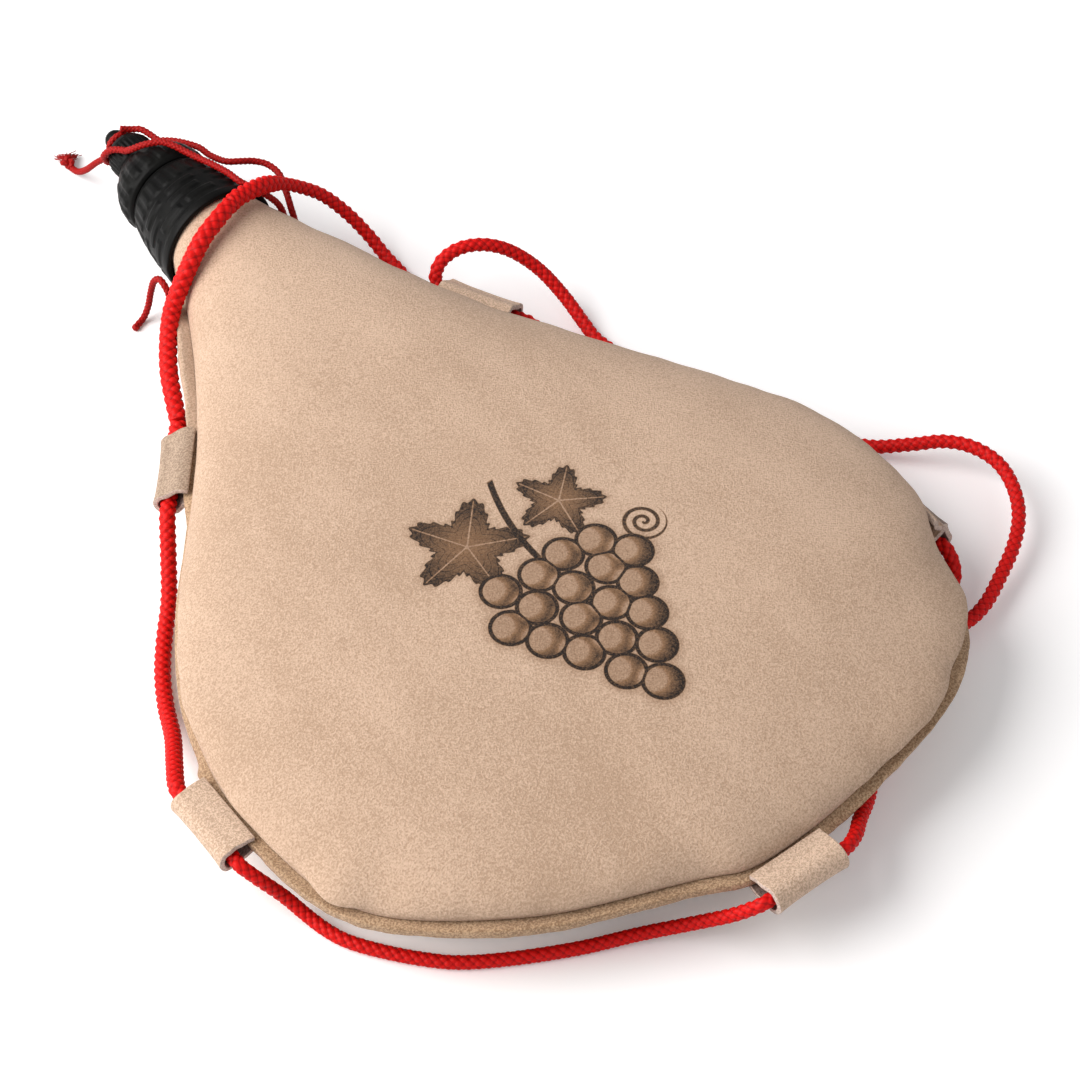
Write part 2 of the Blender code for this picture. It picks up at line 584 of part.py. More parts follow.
def loop(name, share, out, rise):
    """Folded strip of suede: both ends hold the welt and the fold holds the cord."""
    middle = LOOP_BORE + 0.5 * LOOP_THICK
    tilt = math.atan2(-rise, out - LOOP_START)
    droop = math.degrees(tilt)
    start = LOOP_WRAP_DEG - LOOP_LEAD_SHARE * droop
    end = -LOOP_WRAP_DEG - droop
    over = WELT_OUTSIDE + LOOP_LEG
    path = [(LOOP_START, LOOP_ROOT), (over, LOOP_ROOT + LOOP_SPREAD),
            (WELT_OUTSIDE + LOOP_TURN, LOOP_ROOT + LOOP_SPREAD + GAP - LOOP_DIP * math.sin(tilt))]
    for i in range(LOOP_ARC_STEPS + 1):
        angle = math.radians(start + (end - start) * i / LOOP_ARC_STEPS)
        path.append((out + middle * math.cos(angle), rise + middle * math.sin(angle)))
    path.append((LOOP_START + (over - LOOP_START) * math.cos(tilt) ** 2,
                 -LOOP_ROOT - LOOP_SPREAD - LOOP_DIP * math.sin(tilt)))
    path.append((LOOP_START, -LOOP_ROOT))
    line = spline(path, LOOP_CURVE_STEPS)
    outer = inset_line(line, -0.5 * LOOP_THICK)
    inner = inset_line(line, 0.5 * LOOP_THICK)
    ring = outer + inner[::-1]
    here, angle = seam_spot(share)
    data = bpy.data.curves.new(name, "CURVE")
    data.dimensions = "2D"
    data.fill_mode = "BOTH"
    data.extrude = 0.5 * LOOP_WIDTH * MM
    flat = data.splines.new("POLY")
    flat.points.add(len(ring) - 1)
    for spot, (x, z) in zip(flat.points, ring):
        spot.co = (x * MM, z * MM, 0.0, 1.0)
    flat.use_cyclic_u = True
    made = bpy.data.objects.new(name, data)
    made.location = Vector((here[0], here[1], AXIS_Z)) * MM
    made.rotation_euler = (0.5 * math.pi, 0.0, angle)
    return finish(made, SUEDE, 0.92)


def turned(rows, low, high, inner, outer):
    """Radii and heights of a turned outline, from shares of its height and of its reach."""
    return [(inner + (outer - inner) * reach, low + (high - low) * tall) for tall, reach in rows]


def insert_profile():
    """Threaded stub, flange, barrel in the neck and lip inside the bag."""
    low = -INSERT_DEPTH
    lip = BARREL_RADIUS + INSERT_LIP
    return [(INSERT_BORE, STUB_TOP), (STUB_RADIUS - STUB_CHAMFER, STUB_TOP),
            (STUB_RADIUS, STUB_TOP - STUB_CHAMFER), (STUB_RADIUS, FLANGE_TOP), (FLANGE_RADIUS, FLANGE_TOP),
            (FLANGE_RADIUS, FLANGE_LOW), (BARREL_RADIUS, FLANGE_LOW - FLANGE_TAPER),
            (BARREL_RADIUS, low + INSERT_LIP_TALL + INSERT_CHAMFER), (lip, low + INSERT_LIP_TALL),
            (lip, low + INSERT_CHAMFER), (lip - INSERT_CHAMFER, low), (INSERT_BORE, low)]


def skirt_profile():
    """Flared outside, a mouth round the leather and a seat on the flange."""
    bore = STUB_RADIUS + RUNNING
    seat = FLANGE_RADIUS + RUNNING
    seat_low = FLANGE_LOW - GAP
    return ([(bore, SKIRT_TOP)]
            + turned(SKIRT_OUT_SHARES, 0.0, SKIRT_TOP, SKIRT_TOP_RADIUS, RIM_RADIUS)
            + turned(SKIRT_MOUTH_SHARES, 0.0, BINDING_TOP, BINDING_ROOM, MOUTH_RADIUS)
            + turned(SKIRT_NECK_SHARES, BINDING_TOP, seat_low, seat, BINDING_ROOM)
            + [(seat, FLANGE_TOP + GAP), (bore, FLANGE_TOP + GAP)])


def gasket_profile():
    """Flat ring on the end of the stub."""
    inner = INSERT_BORE + RUNNING
    outer = STUB_RADIUS - GASKET_SIDE
    return [(inner, GASKET_LOW + GASKET_THICK), (outer, GASKET_LOW + GASKET_THICK), (outer, GASKET_LOW),
            (inner, GASKET_LOW)]


def nozzle_profile():
    """Spout, shoulder and bulge outside; thread bore, seat and hollow cone inside."""
    bore = STUB_RADIUS + RUNNING
    return ([(JET_RADIUS, SPOUT_TOP), (SPOUT_RADIUS - SPOUT_CHAMFER, SPOUT_TOP),
             (SPOUT_RADIUS, SPOUT_TOP - SPOUT_CHAMFER), (SPOUT_RADIUS, NOZZLE_SHOULDER)]
            + turned(NOZZLE_OUT_SHARES, NOZZLE_LOW, NOZZLE_SHOULDER, SHOULDER_RADIUS, BULGE_RADIUS)
            + [(bore, NOZZLE_LOW), (bore, NOZZLE_SEAT)]
            + turned(HOLLOW_SHARES, NOZZLE_SEAT, SPOUT_TOP, JET_RADIUS, INSERT_BORE - GASKET_SIDE))


def cap_profile():
    """Ball, neck and thimble outside; bore for the spout inside."""
    return (turned(CAP_OUT_SHARES, CAP_LOW, CAP_TOP, 0.0, CAP_RADIUS)
            + [(CAP_BORE, CAP_LOW), (CAP_BORE, CAP_SEAT), (0.0, CAP_SEAT)])


def seal_profile():
    """Disc between the spout's tip and the cap."""
    return [(0.0, SEAL_LOW + SEAL_THICK), (SPOUT_RADIUS, SEAL_LOW + SEAL_THICK), (SPOUT_RADIUS, SEAL_LOW),
            (0.0, SEAL_LOW)]


def lathe(name, profile, colour, roughness, closed):
    """Round part about the collar axis."""
    data = bpy.data.meshes.new(name)
    points = [(r * MM, 0.0, h * MM) for r, h in profile]
    edges = [(i, i + 1) for i in range(len(points) - 1)]
    if closed:
        edges.append((len(points) - 1, 0))
    data.from_pydata(points, edges, [])
    data.update()
    made = bpy.data.objects.new(name, data)
    spin = made.modifiers.new("turned", "SCREW")
    spin.axis = "Z"
    spin.angle = 2.0 * math.pi
    spin.screw_offset = 0.0
    spin.steps = LATHE_STEPS
    spin.render_steps = LATHE_STEPS
    spin.use_merge_vertices = True
    spin.merge_threshold = MERGE
    spin.use_smooth_shade = True
    made.location = Vector((COLLAR_X, RIM_Y, AXIS_Z)) * MM
    made.rotation_euler = (-0.5 * math.pi, 0.0, 0.0)
    return finish(made, colour, roughness)


def cord(name, route, radius, spacing, colour):
    """Round cord through every hand-placed point, with even steps between them."""
    fine = spline(route, CORD_FINE)
    spots = []
    for i in range(len(route) - 1):
        piece = fine[i * CORD_FINE:(i + 1) * CORD_FINE + 1]
        run = lengths(piece)
        count = max(int(round(run[-1] / spacing)), 1)
        spots += [at_length(piece, run, run[-1] * k / count) for k in range(count)]
    spots.append(tuple(route[-1]))
    data = bpy.data.curves.new(name, "CURVE")
    data.dimensions = "3D"
    data.bevel_depth = radius * MM
    data.bevel_resolution = ROUND_SIDES
    data.use_fill_caps = True
    data.resolution_u = 1
    line = data.splines.new("POLY")
    line.points.add(len(spots) - 1)
    for spot, (x, y, z) in zip(line.points, spots):
        spot.co = ((COLLAR_X + x) * MM, (RIM_Y + y) * MM, z * MM, 1.0)
    return finish(bpy.data.objects.new(name, data), colour, 0.7)


def binding():
    """Thread wound round the leather neck over the insert."""
    reach = NECK_HOLD_RADIUS + GAP + BINDING_RADIUS
    route = []
    for i in range(BINDING_POINTS + 1):
        turn = 2.0 * math.pi * i / BINDING_STEPS
        rise = BINDING_LOW + BINDING_PITCH * i / BINDING_STEPS
        route.append((reach * math.cos(turn), rise, AXIS_Z + reach * math.sin(turn)))
    data = bpy.data.curves.new("binding_thread", "CURVE")
    data.dimensions = "3D"
    data.bevel_depth = BINDING_RADIUS * MM
    data.bevel_resolution = THREAD_SIDES
    data.use_fill_caps = True
    line = data.splines.new("POLY")
    line.points.add(len(route) - 1)
    for spot, (x, y, z) in zip(line.points, route):
        spot.co = ((COLLAR_X + x) * MM, (RIM_Y + y) * MM, z * MM, 1.0)
    return finish(bpy.data.objects.new("binding_thread", data), LINEN, 0.8)


def tuft():
    """Frayed end of the tie cord: a small knot with short strands, lying on the table."""
    here = TIE_WRAP_ROUTE[0]
    data = bpy.data.curves.new("tie_cord_tuft", "CURVE")
    data.dimensions = "3D"
    data.bevel_depth = TUFT_KNOT * MM
    data.bevel_resolution = ROUND_SIDES
    data.use_fill_caps = True
    line = data.splines.new("POLY")
    line.points.add(len(TUFT_SHARES) - 1)
    for spot, (side, along, size) in zip(line.points, TUFT_SHARES):
        x = COLLAR_X + here[0] + side * TUFT_REACH
        y = RIM_Y + here[1] + along * TUFT_REACH
        spot.co = (x * MM, y * MM, TUFT_KNOT * MM, 1.0)
        spot.radius = size
    return finish(bpy.data.objects.new("tie_cord_tuft", data), RED, 0.8)


clear_scene()
BAG = collection("bota_bag")
panel("front_panel", 1.0, FRONT_DOME, FRONT_DOME, SUEDE)
panel("back_panel", -1.0, BACK_DOME, AXIS_Z, SUEDE)
welt()
liner()
for loop_name, (seam_share, out_share, rise_share) in LOOP_SHARES.items():
    loop(loop_name, seam_share, out_share * LOOP_REACH, rise_share * LOOP_REACH)
lathe("neck_insert", insert_profile(), BLACK, 0.5, True)
binding()
lathe("collar_skirt", skirt_profile(), BLACK, 0.45, True)
lathe("nozzle_gasket", gasket_profile(), DARK_RUBBER, 0.8, True)
lathe("nozzle", nozzle_profile(), BLACK, 0.45, True)
lathe("cap_seal", seal_profile(), DARK_RUBBER, 0.8, False)
lathe("cap", cap_profile(), BLACK, 0.45, False)
cord("shoulder_cord_left", LEFT_ROUTE, CORD_RADIUS, CORD_STEP, RED)
cord("shoulder_cord_right", RIGHT_ROUTE, CORD_RADIUS, CORD_STEP, RED)
cord("shoulder_cord_slack", SLACK_ROUTE, CORD_RADIUS, CORD_STEP, RED)
cord("shoulder_cord_splice", SPLICE_ROUTE, SPLICE_RADIUS, CORD_STEP, RED)
cord("tie_cord_wrap", TIE_WRAP_ROUTE, TIE_RADIUS, TIE_STEP, RED)
cord("tie_cord_wrap_return", TIE_WRAP_RETURN_ROUTE, TIE_RADIUS, TIE_STEP, RED)
cord("tie_cord", TIE_ROUTE, TIE_RADIUS, TIE_STEP, RED)
cord("tie_cord_return", TIE_RETURN_ROUTE, TIE_RADIUS, TIE_STEP, RED)
tuft()
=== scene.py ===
"""Visual model of a leather wine bag: suede panels, a black screw collar and a braided red cord."""
import math
import random

import bmesh
import bpy
import numpy as np
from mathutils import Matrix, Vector, noise


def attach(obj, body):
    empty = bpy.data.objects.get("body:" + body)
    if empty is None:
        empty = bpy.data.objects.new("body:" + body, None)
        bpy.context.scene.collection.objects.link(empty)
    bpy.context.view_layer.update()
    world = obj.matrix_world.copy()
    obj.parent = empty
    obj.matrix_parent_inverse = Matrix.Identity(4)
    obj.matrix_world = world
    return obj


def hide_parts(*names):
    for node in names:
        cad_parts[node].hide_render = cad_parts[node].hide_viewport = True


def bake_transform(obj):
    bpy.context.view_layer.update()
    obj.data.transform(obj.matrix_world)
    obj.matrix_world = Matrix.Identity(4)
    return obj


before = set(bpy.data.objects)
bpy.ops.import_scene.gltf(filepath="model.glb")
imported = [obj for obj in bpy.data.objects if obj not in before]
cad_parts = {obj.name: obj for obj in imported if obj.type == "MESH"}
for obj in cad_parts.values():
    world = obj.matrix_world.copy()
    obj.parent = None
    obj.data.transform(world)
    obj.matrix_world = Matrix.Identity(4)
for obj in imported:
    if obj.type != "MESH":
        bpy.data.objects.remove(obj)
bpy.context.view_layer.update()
scene = bpy.context.scene
scene.view_settings.view_transform = "Standard"


# --- Camera, table and studio light ------------------------------------------------------------
# A long lens looks down on the bag from beyond its rounded end, left of its middle line.
# The table is plain white, under one broad lamp at the upper left and a pale room.
CAMERA_AT = Vector((-0.34956, -0.50460, 0.72430))
CAMERA_AIM = Vector((0.02570, -0.02653, 0.0))
LENS = 104.81

eye = bpy.data.objects.new("studio_camera", bpy.data.cameras.new("studio_camera"))
eye.data.lens = LENS
eye.data.sensor_width = 36.0
eye.data.clip_start = 0.05
eye.location = CAMERA_AT
eye.rotation_euler = (CAMERA_AIM - CAMERA_AT).to_track_quat("-Z", "Y").to_euler()
scene.collection.objects.link(eye)
scene.camera = eye


def soft_lamp(name, place, aim, size, power, tint):
    lamp = bpy.data.lights.new(name, "AREA")
    lamp.shape = "DISK"
    lamp.size = size
    lamp.energy = power
    lamp.color = tint
    made = bpy.data.objects.new(name, lamp)
    made.location = Vector(place)
    made.rotation_euler = (Vector(aim) - Vector(place)).to_track_quat("-Z", "Y").to_euler()
    scene.collection.objects.link(made)


soft_lamp("window_light", (-0.78, 0.46, 0.76), (0.0, -0.02, 0.0), 1.3, 24.3, (1.0, 0.985, 0.965))
soft_lamp("fill_light", (0.10, -1.10, 0.80), (0.0, -0.05, 0.0), 0.9, 2.6, (0.98, 0.99, 1.0))

room = bpy.data.worlds.new("pale_room")
room.use_nodes = True
sky = room.node_tree.nodes["Background"].inputs
sky["Color"].default_value, sky["Strength"].default_value = (1.0, 0.99, 0.985, 1.0), 0.39
scene.world = room


def new_material(name, roughness, **settings):
    """Material with one Principled shader; settings are constants for its own sockets."""
    made = bpy.data.materials.new(name)
    made.use_nodes = True
    shader = made.node_tree.nodes["Principled BSDF"]
    shader.inputs["Roughness"].default_value = roughness
    for socket, value in settings.items():
        shader.inputs[socket.replace("_", " ")].default_value = value
    return made, made.node_tree, shader


def feed(tree, socket, value):
    """Give an input a plain value, or link an output to it."""
    value = getattr(value, "out", value)
    if isinstance(value, bpy.types.NodeSocket):
        tree.links.new(value, socket)
    else:
        socket.default_value = value


def add_node(tree, kind, **inputs):
    """New shader node with its inputs fed."""
    node = tree.nodes.new("ShaderNode" + kind)
    for name, value in inputs.items():
        feed(tree, node.inputs[name.replace("_", " ")], value)
    return node


class Signal:
    """A number that a node gives; sums on it become math nodes."""

    def __init__(self, tree, out):
        self.tree, self.out = tree, out

    def __add__(self, other):
        return maths(self.tree, "ADD", self, other)

    def __sub__(self, other):
        return maths(self.tree, "SUBTRACT", self, other)

    def __rsub__(self, other):
        return maths(self.tree, "SUBTRACT", other, self)

    def __mul__(self, other):
        return maths(self.tree, "MULTIPLY", self, other)


def maths(tree, kind, *terms, clamp=False):
    """Math node on signals, outputs or plain numbers."""
    node = tree.nodes.new("ShaderNodeMath")
    node.operation, node.use_clamp = kind, clamp
    for socket, term in zip(node.inputs, terms):
        feed(tree, socket, term)
    return Signal(tree, node.outputs["Value"])


def mixed(tree, share, first, second, blend="MIX"):
    """Mix of two colours."""
    node = tree.nodes.new("ShaderNodeMix")
    node.data_type, node.blend_type = "RGBA", blend
    for name, value in (("Factor", share), ("A", first), ("B", second)):
        feed(tree, node.inputs[name], value)
    return node.outputs["Result"]


def put_mesh(name, mesh, material, body):
    """Make an object of a finished mesh, smooth, with its material, riding on a body."""
    made = bpy.data.objects.new(name, mesh)
    scene.collection.objects.link(made)
    for each in material if isinstance(material, (list, tuple)) else [material]:
        mesh.materials.append(each)
    mesh.polygons.foreach_set("use_smooth", [True] * len(mesh.polygons))
    if body:
        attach(made, body)
    return made


def build_mesh(name, bm, recalc=True):
    """Turn a bmesh into a mesh whose faces point outwards."""
    if recalc:
        bmesh.ops.recalc_face_normals(bm, faces=bm.faces)
    mesh = bpy.data.meshes.new(name)
    bm.to_mesh(mesh)
    bm.free()
    return mesh


table_bm = bmesh.new()
bmesh.ops.create_grid(table_bm, x_segments=2, y_segments=2, size=3.0)
table_paint, table_tree, table_shader = new_material("white_table", 0.55)
# The table looks whiter to the camera than it is; it gives the bag no more light for that.
table_ray = Signal(table_tree, add_node(table_tree, "LightPath").outputs["Is Camera Ray"])
feed(table_tree, table_shader.inputs["Base Color"],
     mixed(table_tree, table_ray, (0.87, 0.865, 0.87, 1.0), (1.0, 0.992, 1.0, 1.0)))
feed(table_tree, table_shader.inputs["Emission Strength"], table_ray * 0.09)
table_shader.inputs["Emission Color"].default_value = (0.98, 0.97, 1.0, 1.0)
table_top = put_mesh("table_top", build_mesh("table_top", table_bm), table_paint, None)


# --- Shoulder cord ----------------------------------------------------------------------------
# One length of red cord, 4.2 mm thick, braided from eight thick bundles of glossy yarn.
# It runs through the five suede loops, lies on the table between them, and closes over the neck.
CORD_DIAMETER = 0.0042
CORD_STRANDS = 4
CORD_STITCH = 0.0027
SIDES_PER_STRAND = 7
BRAID_CORE, BRAID_RELIEF = 0.76, 0.30
# The red of the braid, and the darker red that is painted into the hollows between strands: painted shade.
CORD_RED = (0.63, 0.005, 0.004)
CORD_HOLLOW_SHADE = (0.24, 0.001, 0.001)


def tenths(*points):
    """A cord's course, written in tenths of a millimetre, in metres."""
    return [tuple(k / 10000 for k in point) for point in points]


LEFT_RUN = tenths(
    (-417, 646, 180), (-458, 597, 180), (-540, 496, 180), (-623, 395, 180), (-651, 359, 170), (-703, 285, 114),
    (-769, 194, 52), (-856, 93, 25), (-927, -5, 23), (-987, -113, 32), (-1049, -249, 80), (-1123, -379, 154),
    (-1175, -473, 198), (-1184, -521, 205), (-1187, -651, 205), (-1189, -781, 205), (-1187, -805, 201),
    (-1159, -845, 160), (-1113, -887, 86), (-1083, -947, 36), (-1064, -1011, 23), (-1039, -1075, 22),
    (-989, -1152, 22), (-919, -1239, 22), (-842, -1315, 22), (-719, -1395, 22), (-560, -1480, 24),
    (-411, -1553, 40), (-291, -1647, 96), (-227, -1719, 160), (-183, -1763, 212), (-151, -1771, 220),
    (-89, -1771, 220), (-30, -1771, 220))
RIGHT_RUN = tenths(
    (-25, -1771, 220), (39, -1771, 220), (101, -1771, 220), (135, -1768, 216), (191, -1739, 188),
    (255, -1689, 146), (340, -1631, 100), (435, -1555, 60), (545, -1483, 30), (665, -1419, 22),
    (805, -1341, 22), (925, -1259, 22), (1025, -1207, 25), (1084, -1186, 56), (1107, -1156, 96),
    (1114, -1115, 124), (1112, -1089, 125), (1103, -963, 106), (1094, -837, 87), (1093, -801, 81),
    (1099, -712, 62), (1115, -605, 38), (1129, -487, 30), (1067, -365, 22), (999, -235, 22), (919, -89, 22),
    (837, 61, 30), (775, 177, 70), (719, 281, 134), (693, 337, 166), (676, 373, 170), (623, 487, 170))
SLACK_RUN = tenths(
    (620, 493, 170), (567, 607, 170), (558, 629, 173), (565, 659, 198), (599, 673, 232), (651, 667, 254),
    (707, 647, 258), (769, 619, 238), (829, 583, 194), (881, 523, 132), (907, 435, 70), (905, 335, 34),
    (899, 255, 23), (921, 141, 22), (985, -19, 22), (1071, -209, 22), (1161, -399, 22), (1219, -529, 26),
    (1265, -623, 40), (1347, -711, 70), (1419, -779, 94), (1463, -855, 106), (1479, -947, 108),
    (1457, -1037, 102), (1403, -1125, 90), (1315, -1199, 78), (1195, -1263, 68), (1091, -1309, 66),
    (995, -1323, 68), (921, -1293, 68), (889, -1251, 62), (871, -1197, 34), (884, -1119, 23), (931, -1029, 22),
    (975, -915, 22), (991, -759, 22), (965, -579, 22), (901, -399, 22), (795, -179, 22), (681, 51, 22),
    (585, 281, 22), (531, 461, 22), (521, 621, 22), (559, 761, 22), (585, 861, 24), (583, 961, 42),
    (571, 1033, 86), (537, 1099, 154), (481, 1147, 230), (405, 1169, 297), (325, 1165, 361), (249, 1147, 406),
    (159, 1127, 430), (115, 1109, 437))


def run_of(line):
    """Length of a line up to each of its points."""
    return np.concatenate([[0.0], np.cumsum(np.linalg.norm(np.diff(line, axis=0), axis=1))])


def headings(line):
    """Direction of a line at each of its points."""
    way = np.gradient(line, axis=0)
    return way / np.linalg.norm(way, axis=1)[:, None]


def smooth_run(points, step):
    """Even steps along a smooth curve through placed points, in metres."""
    p = np.array(points, float)
    p = np.vstack([2 * p[0] - p[1], p, 2 * p[-1] - p[-2]])
    t = np.linspace(0.0, 1.0, 24, endpoint=False)[:, None]
    fine = [0.5 * (2 * b + (c - a) * t + (2 * a - 5 * b + 4 * c - d) * t ** 2 + (3 * b - a - 3 * c + d) * t ** 3)
            for a, b, c, d in zip(p, p[1:], p[2:], p[3:])]
    fine = np.vstack(fine + [p[-2]])
    run = run_of(fine)
    count = max(int(round(run[-1] / step)), 2)
    spots = np.linspace(0.0, run[-1], count + 1)
    return np.stack([np.interp(spots, run, fine[:, k]) for k in range(3)], axis=1), run[-1]


def carried_frames(line):
    """Two directions square to a line at each point, carried along it without twist."""
    ahead = headings(line)
    side = np.cross(ahead[0], (0.0, 0.0, 1.0))
    if np.linalg.norm(side) < 0.1:
        side = np.cross(ahead[0], (1.0, 0.0, 0.0))
    sides = []
    for way in ahead:
        side = side - way * side.dot(way)
        side = side / np.linalg.norm(side)
        sides.append(side)
    sides = np.array(sides)
    return sides, np.cross(ahead, sides)


def rolled_grid(name, rows, columns, place, values=None):
    """Grid rolled into a tube: place gives the point of each (row, column); values is kept on its points."""
    bm = bmesh.new()
    bm.loops.layers.uv.new("UVMap")
    bmesh.ops.create_grid(bm, x_segments=rows, y_segments=columns, size=1.0, calc_uvs=True)
    layer = bm.verts.layers.float.new("relief")
    for v in bm.verts:
        row = int(round((v.co.x + 1.0) * 0.5 * rows))
        column = int(round((v.co.y + 1.0) * 0.5 * columns)) % columns
        v.co = place[row, column]
        v[layer] = values[row, column] if values is not None else 0.5
    bmesh.ops.remove_doubles(bm, verts=[v for v in bm.verts if v.is_boundary], dist=2e-6)
    bmesh.ops.edgeloop_fill(bm, edges=[e for e in bm.edges if e.is_boundary])
    return build_mesh(name, bm)


def braided_tube(name, line, radius, strands, stitch, taper=None):
    """Cord surface in relief: two sets of strands wind round it, each over one and under one of the other."""
    rows, columns = len(line) - 1, strands * SIDES_PER_STRAND
    side, up = carried_frames(line)
    turn = np.arange(columns) / columns
    # The rows lie a seventh of a stitch apart, so every crossing is sampled alike.
    steps = np.arange(rows + 1)[:, None] / SIDES_PER_STRAND
    p = strands * turn[None, :] + steps
    q = strands * turn[None, :] - steps
    whole_p, whole_q = np.floor(p + 1e-6), np.floor(q + 1e-6)
    over = np.where((whole_p + whole_q) % 2 < 0.5, 1.0, -1.0)
    bow_p, bow_q = (np.sin(np.pi * np.clip(k, 0.0, 1.0)) for k in (p - whole_p, q - whole_q))
    woven = np.maximum(bow_p + 0.8 * over * bow_q, bow_q - 0.8 * over * bow_p) / 1.8
    bulge = (woven + np.sqrt(bow_p * bow_q)) / 2.0
    reach = radius * (BRAID_CORE + BRAID_RELIEF * bulge)
    if taper is not None:
        along = run_of(line)
        reach = reach * taper(along, along[-1])[:, None]
    angle = 2.0 * np.pi * turn
    place = (line[:, None, :] + side[:, None, :] * (reach * np.cos(angle))[:, :, None]
             + up[:, None, :] * (reach * np.sin(angle))[:, :, None])
    return rolled_grid(name, rows, columns, place, bulge)


def object_place(tree):
    return add_node(tree, "TexCoord").outputs["Object"]


def rough_noise(tree, vector, scale, detail=2.0, roughness=0.5):
    node = add_node(tree, "TexNoise", Vector=vector, Scale=scale, Detail=detail, Roughness=roughness)
    return Signal(tree, node.outputs["Fac"])


def colour_ramp(tree, value, *stops):
    """Colours laid along a value; each stop is a place on it and a colour."""
    node = add_node(tree, "ValToRGB", Fac=value)
    row = node.color_ramp.elements
    for end in (0, -1):
        row[end].position, row[end].color = stops[end][0], (*stops[end][1], 1.0)
    for place, colour in stops[1:-1]:
        row.new(place).color = (*colour, 1.0)
    return node.outputs["Color"]


def bumped(tree, shader, height, distance, strength=1.0):
    node = add_node(tree, "Bump", Height=height, Distance=distance, Strength=strength)
    feed(tree, shader.inputs["Normal"], node.outputs["Normal"])


def cord_material(name, bright, hollow_shade, stitch, roughness):
    """Glossy braided yarn: the yarn's own red where a strand rises, a darker red painted into the hollows as painted
    shade, fine yarns on each strand.
    """
    paint, tree, shader = new_material(name, roughness, Specular_IOR_Level=0.16)
    height = add_node(tree, "Attribute")
    height.attribute_name = "relief"
    yarn = rough_noise(tree, object_place(tree), 2.2 / stitch, 3.0)
    # Painted shade: the lower the relief, the darker the red.
    tone = colour_ramp(tree, yarn * 0.55 + height.outputs["Fac"], (0.26, hollow_shade), (0.84, bright))
    feed(tree, shader.inputs["Base Color"], tone)
    bumped(tree, shader, yarn, 0.00025, 0.5)
    return paint


def eased_step(value):
    held = np.clip(value, 0.0, 1.0)
    return held * held * (3.0 - 2.0 * held)


def closing(along, whole):
    """The braid bunches up where it hangs slack, thins where it is drawn, and swells into the splice."""
    loose = np.interp(along, (0.0, 0.03, 0.14, 0.18, 0.33, 0.40), (1.10, 1.16, 1.16, 0.95, 0.95, 1.02))
    first = 1.0 - eased_step((along - 0.003) / 0.006)
    last = 1.0 - eased_step((whole - along - 0.018) / 0.010)
    return loose + (1.34 - loose) * np.maximum(first, last)


CORD_PAINT = cord_material("red_braid", CORD_RED, CORD_HOLLOW_SHADE, CORD_STITCH, 0.5)
cord_line, cord_length = smooth_run(LEFT_RUN + RIGHT_RUN[1:] + SLACK_RUN[1:], CORD_STITCH / SIDES_PER_STRAND)
shoulder_cord = put_mesh("shoulder_cord", braided_tube("shoulder_cord", cord_line, 0.5 * CORD_DIAMETER,
                                                       CORD_STRANDS, CORD_STITCH, closing), CORD_PAINT, "bag")
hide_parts("shoulder_cord_left", "shoulder_cord_right", "shoulder_cord_slack")


# --- Splice over the neck ---------------------------------------------------------------------
# The two ends of the shoulder cord are drawn one into the other for 80 mm, where it crosses the neck.
# The braid swells to 5.5 mm there; the plain cord widens into it at both ends.
SPLICE_DIAMETER = 0.0055
SPLICE_STITCH = 0.0033
SPLICE_RUN = tenths(
    (111, 1107, 438), (57, 1084, 438), (-28, 1055, 416), (-103, 1025, 370), (-157, 1009, 312), (-205, 987, 262),
    (-265, 921, 230), (-331, 823, 210), (-383, 717, 190), (-410, 657, 182))


def swollen(along, whole):
    """Full in the middle, a little slimmer where it meets the plain cord at both ends."""
    return 1.0 + 0.05 * eased_step(np.minimum(along, whole - along) / 0.02)


splice_line, splice_length = smooth_run(SPLICE_RUN, SPLICE_STITCH / SIDES_PER_STRAND)
cord_splice = put_mesh("cord_splice", braided_tube("cord_splice", splice_line, 0.5 * SPLICE_DIAMETER,
                                                   CORD_STRANDS, SPLICE_STITCH, swollen), CORD_PAINT, "bag")
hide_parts("shoulder_cord_splice")


# --- Thin cord for the cap --------------------------------------------------------------------
# A 2 mm braided cord is tied round the cap's neck, runs down beside the collar and round the leather
# neck, and keeps the cap on the bag. Its short end is knotted and frayed; its long ends lie on the table.
THIN_DIAMETER = 0.0022
THIN_STRANDS = 4
THIN_STITCH = 0.0015
WRAP_RUN = tenths(
    (22, 1972, 11), (21, 1921, 28), (26, 1867, 74), (39, 1817, 134), (62, 1771, 184), (60, 1757, 218),
    (71, 1755, 249), (99, 1754, 264), (130, 1753, 257), (148, 1753, 231), (145, 1752, 199), (121, 1751, 176),
    (85, 1749, 170), (44, 1741, 190), (23, 1724, 243), (37, 1695, 281), (54, 1663, 296), (56, 1633, 311))
WRAP_RETURN_RUN = tenths(
    (112, 1754, 288), (142, 1741, 279), (167, 1719, 280), (180, 1685, 275), (188, 1643, 272))
DOWN_RUN = tenths(
    (57, 1629, 315), (61, 1599, 342), (89, 1565, 370), (131, 1531, 382), (154, 1491, 382), (171, 1451, 376),
    (186, 1397, 379), (201, 1337, 386), (213, 1271, 393), (221, 1211, 393), (269, 1163, 353), (315, 1146, 282),
    (325, 1141, 196), (297, 1139, 116), (235, 1139, 54), (155, 1139, 28), (55, 1137, 28), (-35, 1133, 46),
    (-97, 1131, 88), (-120, 1136, 146), (-124, 1155, 184), (-124, 1186, 194), (-130, 1214, 168),
    (-138, 1230, 112), (-151, 1234, 56), (-173, 1232, 19), (-200, 1224, 11), (-226, 1212, 11))
RETURN_RUN = tenths(
    (188, 1646, 272), (215, 1609, 283), (240, 1567, 289), (261, 1517, 293), (267, 1461, 296), (279, 1391, 316),
    (315, 1363, 316), (357, 1347, 304), (387, 1315, 296), (395, 1265, 290), (381, 1217, 280), (361, 1155, 246),
    (351, 1121, 174), (299, 1109, 88), (225, 1107, 40), (135, 1107, 26), (45, 1107, 24), (-40, 1119, 15),
    (-85, 1138, 11), (-122, 1166, 11))
